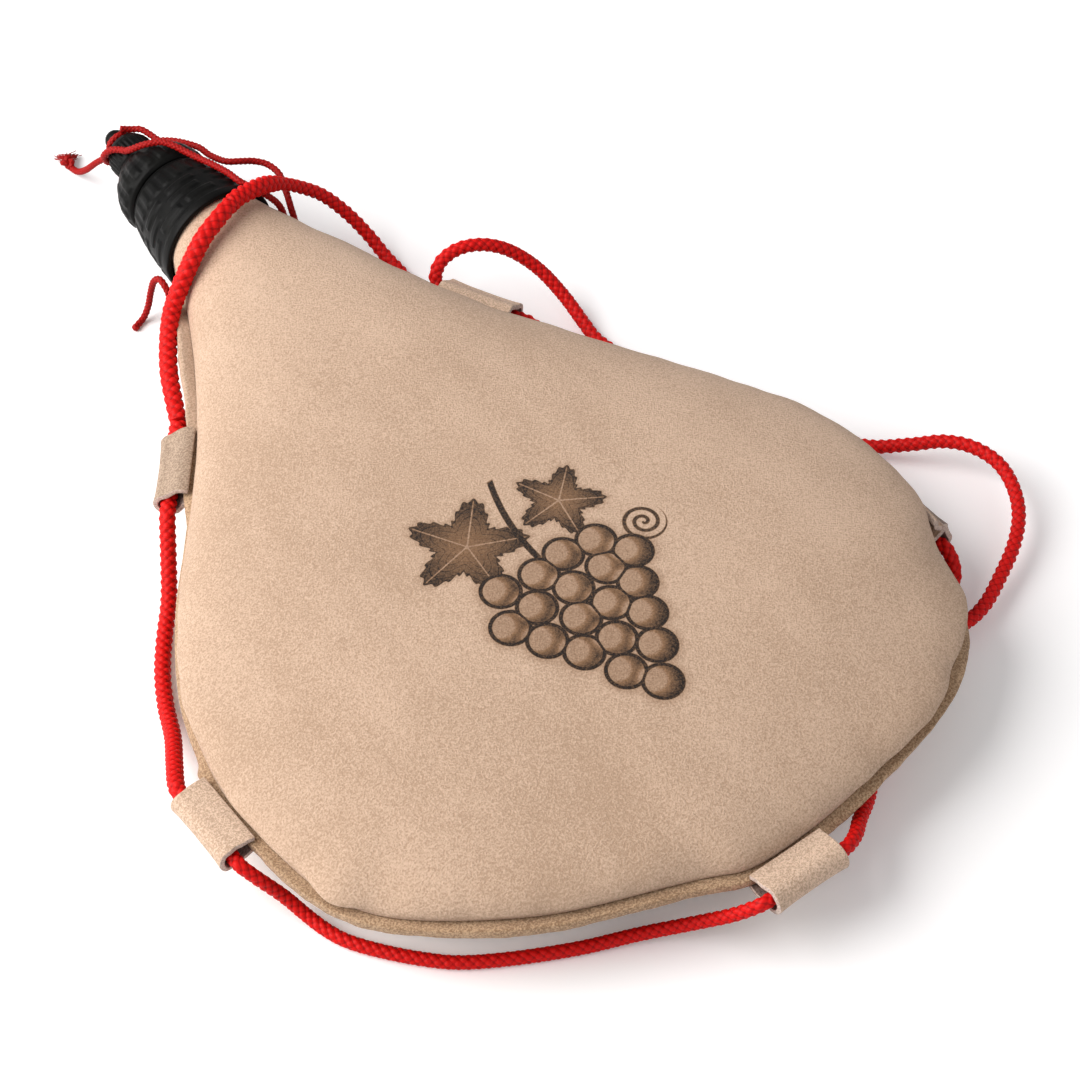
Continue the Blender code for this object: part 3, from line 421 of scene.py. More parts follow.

# The thin cord's red, and a darker red painted into its hollows: painted shade.
THIN_RED, THIN_HOLLOW_SHADE = (0.34, 0.004, 0.003), (0.12, 0.0, 0.001)
THIN_PAINT = cord_material("thin_red_braid", THIN_RED, THIN_HOLLOW_SHADE, THIN_STITCH, 0.5)


def sealed(along, whole):
    """The far end is melted to a small round bead."""
    gap = whole - along
    return (1.0 + 0.22 * (1.0 - eased_step((gap - 0.0010) / 0.0008))) * np.sqrt(np.clip(gap / 0.0009, 0.04, 1.0))


def thin_cord(name, run, node, far_end):
    """One length of the thin cord, which joins two bodies; it is put on neither of them."""
    line, length = smooth_run(run, THIN_STITCH / SIDES_PER_STRAND)
    made = put_mesh(name, braided_tube(name, line, 0.5 * THIN_DIAMETER, THIN_STRANDS, THIN_STITCH,
                                       sealed if far_end == "bare" else None), THIN_PAINT, None)
    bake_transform(made)
    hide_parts(node)
    return made


def frayed_tuft():
    """Overhand knot with the cord's loose yarns spread beyond it."""
    rng = random.Random(7)
    foot = Vector(WRAP_RUN[0])
    bm = bmesh.new()
    # The knot is a trefoil of the same cord, pulled tight.
    knot = []
    for i in range(97):
        t = 2.0 * math.pi * i / 96
        knot.append((foot.x + 0.00062 * (math.sin(t) + 2.0 * math.sin(2.0 * t)),
                     foot.y + 0.0010 + 0.00062 * (math.cos(t) - 2.0 * math.cos(2.0 * t)),
                     foot.z + 0.0006 + 0.00075 * (1.0 - math.sin(3.0 * t))))
    knot_line = np.array(knot)
    tied = braided_tube("tied", knot_line, 0.00092, THIN_STRANDS, THIN_STITCH)
    bm.from_mesh(tied)
    bpy.data.meshes.remove(tied)
    layer = bm.verts.layers.float.get("relief")
    for k in range(64):
        # Most yarns lie in a bunch to one side; the rest stand off in the other direction.
        upper = k % 3 == 0
        heading = math.radians(rng.uniform(84.0, 112.0) if upper else rng.uniform(10.0, 75.0))
        reach = rng.uniform(0.0042, 0.0060) if upper else rng.uniform(0.0036, 0.0058)
        lift = rng.uniform(0.0002, 0.0022)
        bow = rng.uniform(-0.0008, 0.0008)
        way = Vector((math.cos(heading), math.sin(heading), 0.0))
        side = Vector((-way.y, way.x, 0.0))
        base = foot + Vector((rng.uniform(-0.0008, 0.0008), 0.0012 + rng.uniform(-0.0008, 0.0008),
                              rng.uniform(0.0002, 0.0014)))
        ring = bmesh.ops.create_circle(bm, segments=4, radius=0.00016)["verts"]
        turn = Vector((0.0, 0.0, 1.0)).rotation_difference(way).to_matrix()
        bmesh.ops.rotate(bm, verts=ring, matrix=turn)
        bmesh.ops.translate(bm, verts=ring, vec=base)
        edges = list({e for v in ring for e in v.link_edges})
        before = base
        for j in range(1, 6):
            t = j / 5.0
            here = base + way * reach * t + side * bow * math.sin(math.pi * t) + Vector(
                (0.0, 0.0, (lift + 0.0016) * math.sin(math.pi * min(t * 1.2, 1.0)) * 0.5 - 0.0004 * t))
            here.z = max(here.z, 0.0003)
            grown = bmesh.ops.extrude_edge_only(bm, edges=edges)["geom"]
            ring = [g for g in grown if isinstance(g, bmesh.types.BMVert)]
            edges = [g for g in grown if isinstance(g, bmesh.types.BMEdge)]
            bmesh.ops.translate(bm, verts=ring, vec=here - before)
            before = here
            for v in ring:
                v[layer] = 0.2 + 0.8 * rng.random()
    bmesh.ops.holes_fill(bm, edges=[e for e in bm.edges if e.is_boundary], sides=6)
    return build_mesh("tie_tuft", bm)


tie_tuft = put_mesh("tie_tuft", frayed_tuft(), THIN_PAINT, "cap_lift")
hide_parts("tie_cord_tuft")
tie_return_top = thin_cord("tie_return_top", WRAP_RETURN_RUN, "tie_cord_wrap_return", None)
tie_wrap = thin_cord("tie_wrap", WRAP_RUN[::-1], "tie_cord_wrap", "knot")
tie_down = thin_cord("tie_down", DOWN_RUN, "tie_cord", "bare")
tie_return = thin_cord("tie_return", RETURN_RUN, "tie_cord_return", "bare")


# --- Suede ------------------------------------------------------------------------------------
# Split cowhide with a brushed nap, 1.8 mm thick. The nap lies in patches, lighter or darker by its lean,
# and every cut edge shows the looser, paler middle of the hide.
SUEDE_LIGHT = (0.630, 0.445, 0.325)
SUEDE_DARK = (0.430, 0.285, 0.192)
EDGE_LIGHT = (0.560, 0.372, 0.230)
EDGE_DARK = (0.290, 0.170, 0.092)
MM, LEATHER = 0.001, 1.8


def nap_group():
    """Brushed nap of suede: its colour, and its height for a bump."""
    group = bpy.data.node_groups.new("suede_nap", "ShaderNodeTree")
    for way, name, kind in (("INPUT", "Light", "Color"), ("INPUT", "Dark", "Color"), ("INPUT", "Patches", "Float"),
                            ("INPUT", "Grain", "Float"), ("OUTPUT", "Color", "Color"), ("OUTPUT", "Height", "Float")):
        group.interface.new_socket(name=name, in_out=way, socket_type="NodeSocket" + kind)
    into = group.nodes.new("NodeGroupInput").outputs
    out = group.nodes.new("NodeGroupOutput").inputs
    where = object_place(group)
    brushed = add_node(group, "Mapping", Vector=where, Rotation=(0.0, 0.0, 0.9), Scale=(1.0, 0.45, 1.0))
    broad = rough_noise(group, where, 14.0)
    patch = rough_noise(group, brushed.outputs["Vector"], 70.0, 3.0, 0.55)
    speckle = rough_noise(group, where, 1750.0, 2.0, 0.6)
    clump = rough_noise(group, where, 900.0)
    fine = rough_noise(group, where, 5200.0, 1.0)
    soft = ((broad - 0.5) * 0.9 + (patch - 0.5) * 0.85) * into["Patches"]
    tiny = ((speckle - 0.5) * 3.5 + (fine - 0.5) * 0.9 + (clump - 0.5) * 0.7) * into["Grain"]
    share = maths(group, "ADD", soft + tiny, 0.5, clamp=True)
    feed(group, out["Color"], mixed(group, share, into["Dark"], into["Light"]))
    feed(group, out["Height"], speckle + fine * 0.6)
    return group


NAP = nap_group()


def suede_nap(tree, light, dark, patches, grain):
    nap = add_node(tree, "Group")
    nap.node_tree = NAP
    for name, value in (("Light", (*light, 1.0)), ("Dark", (*dark, 1.0)), ("Patches", patches), ("Grain", grain)):
        nap.inputs[name].default_value = value
    return nap.outputs


def suede_material(name, light, dark, patches=1.0, grain=1.0, depth=0.00045, over=None):
    """Suede: the nap group drives the colour and a bump; a faint sheen stands for the fibres."""
    paint, tree, shader = new_material(name, 0.92, Sheen_Weight=0.12, Sheen_Roughness=0.6,
                                       Specular_IOR_Level=0.15)
    nap = suede_nap(tree, light, dark, patches, grain)
    feed(tree, shader.inputs["Base Color"], over(tree, nap["Color"]) if over else nap["Color"])
    bumped(tree, shader, nap["Height"], depth, 0.75)
    return paint


# --- Front panel ------------------------------------------------------------------------------
# The upper half of the bag: one pear-shaped piece of suede, wet-moulded into a dome, drawn in to a round
# neck and sewn to the welt inside out, so its edge rolls under at the seam. A vine motif is burnt on it.
COLLAR_X, RIM_Y, AXIS_Z = 10.51, 118.06, 22.0
BODY_LENGTH, HALF_WIDTH = 286.7, 111.7
FRONT_DOME, BACK_DOME = 20.5, 26.0
OUTLINE_SHARES = ((0.10, 0.270, 0.254), (0.25, 0.463, 0.440), (0.42, 0.781, 0.733), (0.58, 0.962, 0.981),
                  (0.72, 0.967, 1.033), (0.84, 0.872, 0.938), (0.93, 0.552, 0.688), (0.98, 0.176, 0.334))
CORNER_SHARE, SWELL_SHARE = 0.86, 0.45
NECK_RADIUS, NECK_HOLD, NECK_TOP = 17.5, 14.0, 16.0
NECK_FLARE_HEIGHTS, NECK_FLARE_SHARES = (0.0, 0.09, 0.19, 0.29, 0.39), (1.0, 0.94, 0.69, 0.26, 0.0)
LEAN, LEAN_PIVOT, LEAN_START, LEAN_FULL = 4.3, -32.0, -5.0, -60.0
SEAM_LIFT = 1.8
PANEL_COLUMNS, PANEL_UPPER, PANEL_LOWER, NECK_ROWS, SEAM_SAMPLES = 190, 120, 110, 12, 1200
NECK_POWER, ACROSS_POWER, ACROSS_ROOT, ALONG_POWER, ALONG_ROOT = 2.0, 2.8, 2.1, 3.0, 2.2


def leaned(x, y):
    """The body leans a few degrees from the collar's axis, bending in the neck; gives the row frame in mm."""
    angle = -math.radians(LEAN) * eased_step((LEAN_START - y) / (LEAN_START - LEAN_FULL))
    reach = y - LEAN_PIVOT
    return (COLLAR_X + x * np.cos(angle) - reach * np.sin(angle),
            RIM_Y + LEAN_PIVOT + x * np.sin(angle) + reach * np.cos(angle))


def along_line(line, spots):
    run = run_of(line)
    return np.stack([np.interp(np.asarray(spots) * run[-1], run, line[:, k]) for k in range(line.shape[1])], axis=-1)


def around(shares, *humps):
    """Sum of smooth humps along the seam, each (middle, half width, height)."""
    shares = np.asarray(shares, float)
    return sum(tall * eased_step(1.0 - np.abs(shares - middle) / half) for middle, half, tall in humps)


# Where the full bag draws its seam in, as humps (share of the seam, half width, reach in mm).
DRAWN_IN = ((0.17, 0.19, 1.3), (0.30, 0.05, 1.3), (0.334, 0.032, 4.4), (0.745, 0.03, 0.9),
            (0.842, 0.056, 1.4), (0.79, 0.08, 0.8))


def outward(line):
    """Directions out of the seam at each point of it."""
    way = headings(line)
    return np.stack([-way[:, 1], way[:, 0]], 1)


def seam_outline(inset=0.0, radius=NECK_RADIUS, drawn=True):
    """Seam of the straight bag, right of the neck round the bottom to the left, moved inward."""
    right = [(NECK_RADIUS, 0.0)] + [(r * HALF_WIDTH, -s * BODY_LENGTH) for s, _, r in OUTLINE_SHARES]
    left = [(-NECK_RADIUS, 0.0)] + [(-l * HALF_WIDTH, -s * BODY_LENGTH) for s, l, _ in OUTLINE_SHARES]
    line = smooth_run([(x, y, 0.0) for x, y in right + [(0.0, -BODY_LENGTH)] + left[::-1]], 1.2)[0][:, :2]
    if inset or drawn:
        inset = inset + (around(np.linspace(0.0, 1.0, len(line)), *DRAWN_IN) if drawn else 0.0)
        line = line - np.reshape(inset, (-1, 1)) * outward(line)
        line[0], line[-1] = (radius, 0.0), (-radius, 0.0)
    return line


def leaned_seam(drawn=True):
    line = seam_outline(drawn=drawn)
    return np.stack(leaned(line[:, 0], line[:, 1]), 1)


def lofted_half(inset, radius, lift, dome, floor, neck_rows, columns, upper, lower):
    """Points of one half of the bag, rows from the neck's top to the bottom, columns from left to right."""
    line = seam_outline(inset, radius)
    corner, middle = -CORNER_SHARE * BODY_LENGTH, len(line) // 2
    first = int(np.argmin(np.abs(line[:middle, 1] - corner)))
    last = middle + int(np.argmin(np.abs(line[middle:, 1] - corner)))
    right, bottom, left = line[:first + 1], line[first:last + 1], line[last:][::-1]
    half = np.sin(0.5 * np.pi * np.linspace(0.0, 1.0, columns // 2 + 1))
    u = np.concatenate([-half[::-1], half[1:]])
    rows = []
    for height, reach in neck_rows:
        x = u * math.sqrt(reach * reach - lift * lift)
        rows.append(np.stack([COLLAR_X + x, np.full_like(u, RIM_Y + height), np.sqrt(reach * reach - x * x)], 1))
    down = np.concatenate([np.linspace(0.0, SWELL_SHARE, upper, endpoint=False), SWELL_SHARE
                           + (1.0 - SWELL_SHARE) * np.sin(0.5 * np.pi * np.linspace(0.0, 1.0, lower + 1))])
    share = 0.5 * (u + 1.0)
    bent = along_line(bottom, 1.0 - share)
    low = left[-1] + (right[-1] - left[-1]) * share[:, None]
    for v in down:
        swell = float(eased_step(v / SWELL_SHARE))
        power, root = (NECK_POWER + (full - NECK_POWER) * swell for full in (ACROSS_POWER, ACROSS_ROOT))
        fall = max(v - SWELL_SHARE, 0.0) / (1.0 - SWELL_SHARE)
        tall = (radius + (dome - radius) * swell - lift) * max(1.0 - fall ** ALONG_POWER, 0.0) ** (1.0 / ALONG_ROOT)
        r, s = along_line(right, v), along_line(left, v)
        side = s + (r - s) * share[:, None]
        x = side[:, 0] + (bent[:, 0] - low[:, 0]) * v
        y = side[:, 1] + (bent[:, 1] - low[:, 1]) * v
        z = lift + tall * np.clip(1.0 - np.abs(u) ** power, 0.0, 1.0) ** (1.0 / root)
        rows.append(np.stack([*leaned(x, y), np.minimum(z, floor)], 1))
    return np.array(rows), u, np.concatenate([[-1.0] * len(neck_rows), down])


def neck_heights(hold, flare):
    """Heights up the neck, each with the neck's radius there."""
    tall = np.linspace(1.0, 0.0, NECK_ROWS, endpoint=False)
    return list(zip(tall * NECK_TOP, hold + flare * np.interp(tall, NECK_FLARE_HEIGHTS, NECK_FLARE_SHARES)))


# How far the rolled edge stands out over the seam, as humps (share of the seam, half width, reach in mm).
FRONT_ROLL = ((0.372, 0.026, 2.2), (0.421, 0.047, 3.0), (0.46, 0.04, 0.8), (0.59, 0.09, 0.6), (0.665, 0.015, 2.9),
              (0.70, 0.06, 1.2), (0.775, 0.04, 1.0))
BACK_ROLL = ((0.30, 0.28, 0.5), (0.75, 0.22, 0.5))
ROLL_FULL, ROLL_FADE = 2.4, 11.0


def roll_over_seam(rows, roll):
    """Push the panel's edge outwards just above the seam, so that it overhangs the groove."""
    line = along_line(leaned_seam(), np.linspace(0.0, 1.0, SEAM_SAMPLES + 1))
    flat = rows.reshape(-1, 3)
    tall = flat[:, 2] - SEAM_LIFT
    close = np.nonzero((tall < ROLL_FULL + ROLL_FADE) & (flat[:, 1] < RIM_Y))[0]
    gap = np.empty(len(close), int)
    for start in range(0, len(close), 2000):
        part = flat[close[start:start + 2000], :2]
        gap[start:start + 2000] = np.argmin(((part[:, None] - line[None]) ** 2).sum(2), axis=1)
    ripple = np.array([noise.noise(Vector((k * 0.07, 4.2, 1.0))) for k in range(SEAM_SAMPLES + 1)])
    reach = around(gap / SEAM_SAMPLES, *roll) + 0.7 * ripple[gap]
    h = np.maximum(tall[close], 0.0)
    shape = eased_step(h / ROLL_FULL) * (1.0 - eased_step((h - ROLL_FULL) / ROLL_FADE))
    flat[close, :2] += outward(line)[gap] * (reach * shape)[:, None]
    return flat.reshape(rows.shape)


def moulded_suede(rows, up, u, down, puckers):
    """Small unevenness of a real hide: long soft waves, and puckers drawn in by the seam."""
    shape = rows.shape[:2]
    flat = rows.reshape(-1, 3)
    wave = np.array([noise.noise(Vector((x * 0.016, y * 0.016, 3.7 * up))) for x, y, _ in flat]).reshape(shape)
    ripple = np.array([noise.noise(Vector((x * 0.055, y * 0.055, 8.1 + up))) for x, y, _ in flat]).reshape(shape)
    tall = rows[:, :, 2] - rows[:, :, 2].min()
    body = (down >= 0.0)[:, None] * eased_step(np.maximum(down, 0.0) / 0.12)[:, None]
    rise = np.clip(tall / 12.0, 0.0, 1.0)
    near = np.exp(-((tall - 4.5) / 4.0) ** 2)
    rows[:, :, 2] += body * (0.9 * wave * rise + puckers * ripple * near)
    return rows


def laid_grid(bm, rows, up):
    """Add a grid that lies on the loft's points, above or below the seam's plane."""
    across, down = rows.shape[1] - 1, rows.shape[0] - 1
    made = bmesh.ops.create_grid(bm, x_segments=across, y_segments=down, size=1.0,
                                 calc_uvs=len(bm.loops.layers.uv) > 0)
    for v in made["verts"]:
        x, y, z = rows[int(round((1.0 - v.co.y) * 0.5 * down)), int(round((v.co.x + 1.0) * 0.5 * across))]
        v.co = (x * MM, y * MM, (AXIS_Z + up * z) * MM)


def thickened(made, name, thickness, offset=-1.0):
    """Give a sheet its thickness, in mm."""
    wall = made.modifiers.new(name, "SOLIDIFY")
    wall.thickness, wall.offset, wall.use_even_offset = thickness * MM, offset, True
    return wall


def half_bag(name, up, dome, floor, puckers, roll, paint):
    rows, u, down = lofted_half(0.0, NECK_RADIUS, SEAM_LIFT, dome, floor,
                                neck_heights(NECK_HOLD, NECK_RADIUS - NECK_HOLD), PANEL_COLUMNS, PANEL_UPPER,
                                PANEL_LOWER)
    rows = roll_over_seam(moulded_suede(rows, up, u, down, puckers), roll)
    rows[:, :, 2] = np.minimum(rows[:, :, 2], floor)
    bm = bmesh.new()
    bm.loops.layers.uv.new("UVMap")
    laid_grid(bm, rows, up)
    bm.normal_update()
    if sum(f.normal.z for f in bm.faces) * up < 0.0:
        bmesh.ops.reverse_faces(bm, faces=bm.faces)
    made = put_mesh(name, build_mesh(name, bm, False), paint, "bag")
    thickened(made, "hide_thickness", LEATHER)
    return made


VINE_AT = (0.0005, -0.0795, 0.0)
VINE_SIZE = 0.00108
GRAPE, GRAPE_ROWS = 5.6, (4, 5, 4, 3, 2, 1)
LEAVES = ((-13.5, 33.0, 16.5, 0.50), (15.5, 31.0, 12.5, -0.85))
TENDRIL = (29.0, 12.0, 6.5)
SCORCHED = (0.024, 0.015, 0.010)


def burnt_vine(tree, colour):
    """A bunch of grapes with two leaves and a tendril, burnt on the nap: brown lines, shaded and speckled."""
    where = object_place(tree)
    place = add_node(tree, "Mapping", Vector=where, Location=VINE_AT, Scale=(VINE_SIZE, VINE_SIZE, VINE_SIZE))
    place.vector_type = "TEXTURE"
    parts = add_node(tree, "SeparateXYZ", Vector=place.outputs["Vector"]).outputs
    x, y = Signal(tree, parts["X"]), Signal(tree, parts["Y"])
    flat = add_node(tree, "CombineXYZ", X=x, Y=y).outputs["Vector"]

    def far_from(cx, cy):
        node = tree.nodes.new("ShaderNodeVectorMath")
        node.operation = "DISTANCE"
        feed(tree, node.inputs[0], flat)
        node.inputs[1].default_value = (cx, cy, 0.0)
        return Signal(tree, node.outputs["Value"])

    def most(first, second):
        return maths(tree, "MAXIMUM", first, second)

    def least(first, second):
        return maths(tree, "MINIMUM", first, second)

    def ramp(value, start, end):
        node = add_node(tree, "MapRange", Value=value, From_Min=start, From_Max=end)
        node.interpolation_type = "SMOOTHSTEP"
        return Signal(tree, node.outputs["Result"])

    def line(value, half, soft=0.35):
        """One on the line where value is nought."""
        return 1.0 - ramp(maths(tree, "ABSOLUTE", value), half, half + soft)

    nearest, second, lit = 99.0, 99.0, 99.0
    for row, count in enumerate(GRAPE_ROWS):
        for k in range(count):
            cx = (k - 0.5 * (count - 1)) * 1.86 * GRAPE + 0.9 * math.sin(3.1 * row + 1.7 * k)
            cy = 15.0 - row * 1.66 * GRAPE + 0.9 * math.cos(2.3 * row + 2.9 * k)
            gap = far_from(cx, cy)
            second = least(second, most(nearest, gap))
            nearest = least(nearest, gap)
            lit = least(lit, far_from(cx - 1.7, cy + 2.0))
    within = 1.0 - ramp(nearest, GRAPE - 0.5, GRAPE)
    between = line(second - nearest, 0.45, 0.7) * within
    rim = most(line(nearest - (GRAPE - 0.4), 0.40), between)
    burn = most(rim, ramp(lit, 1.4, 7.0) * 0.92 * within)
    halo = (1.0 - ramp(nearest, GRAPE - 1.0, GRAPE + 3.2)) * 0.34
    for cx, cy, size, turn in LEAVES:
        gap = far_from(cx, cy)
        angle = maths(tree, "ARCTAN2", y - cy, x - cx) - (0.5 * math.pi + turn)
        lobes = maths(tree, "COSINE", angle * 5.0)
        teeth = maths(tree, "COSINE", angle * 35.0)
        past = gap - (lobes * (0.22 * size) + (teeth * (0.035 * size) + 0.74 * size))
        veins = line(maths(tree, "SINE", angle * 2.5) * gap, 0.22, 0.5)
        ribs = line(maths(tree, "SINE", gap * 1.15 + lobes * -2.6), 0.06, 0.22)
        tone = ribs * 0.22 + (ramp(gap, 0.0, size) * 0.46 + 0.48 - veins * 0.55)
        leaf = most(tone * (1.0 - ramp(past, -0.3, 0.2)), line(past, 0.28) * 0.95)
        # The grapes lie over the leaves.
        burn = most(burn, leaf * (1.0 - within))
        halo = most(halo, (1.0 - ramp(past, -1.0, 3.2)) * 0.34)
    sway = maths(tree, "POWER", most(y - 20.0, 0.0), 2.0) * 0.008
    stem = line(x - (sway - 1.0), 0.75) * (ramp(y, 18.0, 19.0) * (1.0 - ramp(y, 47.0, 48.0)))
    burn = most(burn, stem)
    cx, cy, size = TENDRIL
    gap = far_from(cx, cy)
    wound = maths(tree, "FRACT", gap * (1.0 / 2.7) - maths(tree, "ARCTAN2", y - cy, x - cx) * (0.5 / math.pi))
    coil = line(wound - 0.5, 0.13, 0.14) * (1.0 - ramp(gap, size - 0.4, size))
    burn = most(burn, coil * 0.9)
    worn = (rough_noise(tree, where, 1500.0, 3.0, 0.7) - 0.5) * 1.1 + 0.98
    mask = maths(tree, "MULTIPLY", most(burn, halo * 0.75), worn, clamp=True)
    scorch = colour_ramp(tree, mask, (0.0, (1.0, 1.0, 1.0)), (0.45, (0.44, 0.34, 0.24)), (1.0, SCORCHED))
    return mixed(tree, 1.0, colour, scorch, "MULTIPLY")


front_suede = suede_material("front_suede", SUEDE_LIGHT, SUEDE_DARK, over=burnt_vine)
front = half_bag("front_suede_panel", 1.0, FRONT_DOME, FRONT_DOME, 0.9, FRONT_ROLL, front_suede)
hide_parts("front_panel")


# --- Back panel -------------------------------------------------------------------------------
# The lower half, cut to the same pattern. It rests on the table, so its middle is pressed flat.
back_suede = suede_material("back_suede", EDGE_LIGHT, EDGE_DARK, 0.8)
back = half_bag("back_suede_panel", -1.0, BACK_DOME, AXIS_Z, 0.7, BACK_ROLL, back_suede)
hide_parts("back_panel")


# --- Seam welt --------------------------------------------------------------------------------
# A strip of thicker, tan suede sewn between the two panels. It stands 3 mm out of the seam all round,
# its edge is cut and rubbed round, and it hides the stitches.
WELT_INSIDE, WELT_OUTSIDE, WELT_HALF = 3.2, 3.0, 1.1
WELT_DROOP = ((0.17, 0.19, 140.0), (0.325, 0.05, 60.0), (0.345, 0.055, 120.0), (0.41, 0.05, 25.0),
              (0.468, 0.03, 60.0), (0.80, 0.11, 190.0))
WELT_PLUMP = ((0.945, 0.055, 1.7),)
WELT_GROW, WELT_STEPS, WELT_RING = 26.0, 900, 20
LOOP_SEAM_SHARES = (0.1012, 0.3065, 0.5016, 0.7197, 0.8895)


def seam_path(count):
    """Points of the seam with the neck's sides, outward directions, growth from the neck, seam share."""
    shares = np.linspace(0.0, 1.0, count + 1)
    spots = along_line(seam_outline(), shares)
    out = outward(spots)
    neck = [(r, h) for h, r in neck_heights(NECK_HOLD, NECK_RADIUS - NECK_HOLD)]
    spots = np.vstack([neck, spots, [(-r, h) for r, h in neck[::-1]]])
    out = np.vstack([[(1.0, 0.0)] * len(neck), out, [(-1.0, 0.0)] * len(neck)])
    shares = np.concatenate([[0.0] * len(neck), shares, [1.0] * len(neck)])
    return spots, out, eased_step(-spots[:, 1] / WELT_GROW), shares


def welt_strip():
    spots, out, grow, shares = seam_path(WELT_STEPS)
    run = run_of(spots)
    held, tucked = (sum(np.exp(-((shares - s) * run[-1] / 15.0) ** 4) for s in LOOP_SEAM_SHARES if s != skipped)
                    for skipped in (None, LOOP_SEAM_SHARES[1]))
    rough = np.array([noise.noise(Vector((t * 0.05, 1.3, 0.2))) + 0.5 * noise.noise(Vector((t * 0.21, 7.3, 2.2)))
                      for t in run])
    fuzz = np.array([[noise.noise(Vector((t * 1.4, j * 2.3, 5.0))) for j in range(WELT_RING)] for t in run])
    free = 1.0 - np.clip(held, 0.0, 1.0)
    half = WELT_HALF + grow * free * (0.45 + 0.25 * rough + around(shares, *WELT_PLUMP))
    reach = grow * (WELT_OUTSIDE + 0.5 * rough) - 0.6 * grow
    inside = LEATHER + (WELT_INSIDE - LEATHER) * grow
    droop = np.radians(np.clip(around(shares, *WELT_DROOP), 0.0, 88.0)) * (1.0 - np.clip(tucked, 0.0, 1.0))
    place = np.zeros((len(spots), WELT_RING, 3))
    for j in range(WELT_RING):
        angle = 2.0 * math.pi * j / WELT_RING
        c, s = math.cos(angle), math.sin(angle)
        thick = half + 0.16 * fuzz[:, j] * grow
        # A rounded outer edge, a flat strip inside the seam.
        away = np.where(c > 0.0, reach + (half * 0.62) * c * grow,
                        -inside * min(-c * 1.6, 1.0) + reach * max(1.0 + c * 1.6, 0.0))
        flat_z = np.sign(s) * np.minimum(abs(s) * 1.5, 1.0)
        held_z = np.where(away > 0.8, thick, WELT_HALF)
        # Where the full panels crowd it, the strip is folded down against the back.
        pivot = 0.9 - 0.6 * droop / 1.57
        fold, tall = np.maximum(away - pivot, 0.0), held_z * flat_z
        bent = np.where(fold > 0.0, 1.0, 0.0) * droop
        tall = tall * (1.0 - 0.30 * bent)
        away = np.minimum(away, pivot) + fold * np.cos(bent) + tall * np.sin(bent)
        tall = tall * np.cos(bent) - fold * np.sin(bent)
        x, y = leaned(spots[:, 0] + out[:, 0] * away, spots[:, 1] + out[:, 1] * away)
        place[:, j] = np.stack([x, y, AXIS_Z + tall], 1) * MM
    return rolled_grid("seam_band", len(spots) - 1, WELT_RING, place)


def neck_painted_light(tree, colour):
    """Painted light: towards the neck the strip is painted paler, in the panels' own nap colours, for the light that
    falls on the neck's sides.
    """
    parts = add_node(tree, "SeparateXYZ", Vector=object_place(tree)).outputs
    height = maths(tree, "MULTIPLY_ADD", parts["Y"], 50.0, -2.0, clamp=True)
    return mixed(tree, height, colour, suede_nap(tree, SUEDE_LIGHT, SUEDE_DARK, 0.8, 1.2)["Color"])


# The welt's suede, painted paler near the neck as painted light.
edge_suede = suede_material("edge_suede", EDGE_LIGHT, EDGE_DARK, 0.8, 1.5, 0.0006, neck_painted_light)
welt = put_mesh("seam_band", welt_strip(), edge_suede, "bag")
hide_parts("seam_welt")


# --- Suede loops ------------------------------------------------------------------------------
# Five strips, 25 mm wide, folded round the cord with both ends sewn to the welt. The nap is outside;
# the flesh side and the cut edges fray a little. The cut edges are paler; the flesh side, inside the fold,
# is painted dark brown: painted shade. The upper left loop's nap is painted darker: painted shade.
LOOP_WIDTH, LOOP_THICK, LOOP_REACH = 25.0, 1.7, 9.0
LOOP_BORE = 2.1 + 0.55
LOOP_PLACES = (("loop_right_upper", 0.856, -0.556), ("loop_right_lower", -0.25, -1.26), ("loop_bottom", 1.0, 0.0),
               ("loop_left_lower", 0.889, -0.167), ("loop_left_upper", 0.822, -0.444))
LOOP_SKEW = {"suede_loop_right_lower": (-0.22, -0.16)}
LOOP_STEPS, LOOP_COLUMNS = 44, 26


def loop_profile(out, rise):
    """Middle line of the folded strip, out of the seam and up, from the welt's top to its underside."""
    middle = LOOP_BORE + 0.5 * LOOP_THICK
    tilt = math.atan2(-rise, out - WELT_HALF)
    droop = math.degrees(tilt)
    start, end = 97.0 - 0.55 * droop, -97.0 - droop
    root = WELT_HALF + 0.15 + 0.5 * LOOP_THICK
    dip = 1.7 * math.sin(tilt)
    if droop > 45.0:
        # Hangs down: the strip leaves the seam inside the bulge.
        foot, path = -0.4, [(-3.0, root), (-2.2, root - 0.8), (-1.6, -2.5)]
    else:
        foot, path = 1.1, [(1.1, root), (3.1, root + 0.35), (5.0, root + 0.65 - dip)]
    for angle in np.radians(np.linspace(start, end, 8)):
        path.append((out + middle * math.cos(angle), rise + middle * math.sin(angle)))
    path += [(foot + 2.0 * math.cos(tilt) ** 2, -root - 0.35 - dip), (foot, -root)]
    line = smooth_run([(a, b, 0.0) for a, b in path], 0.2)[0][:, :2]
    return along_line(line, np.linspace(0.0, 1.0, LOOP_STEPS + 1))


def seam_place(share):
    """Point and outward heading on the leaned seam."""
    line = leaned_seam(False)
    length = run_of(line)[-1]
    here, a, b = (along_line(line, share + k / length) for k in (0.0, -2.0, 2.0))
    return here, math.atan2(b[1] - a[1], b[0] - a[0]) + 0.5 * math.pi


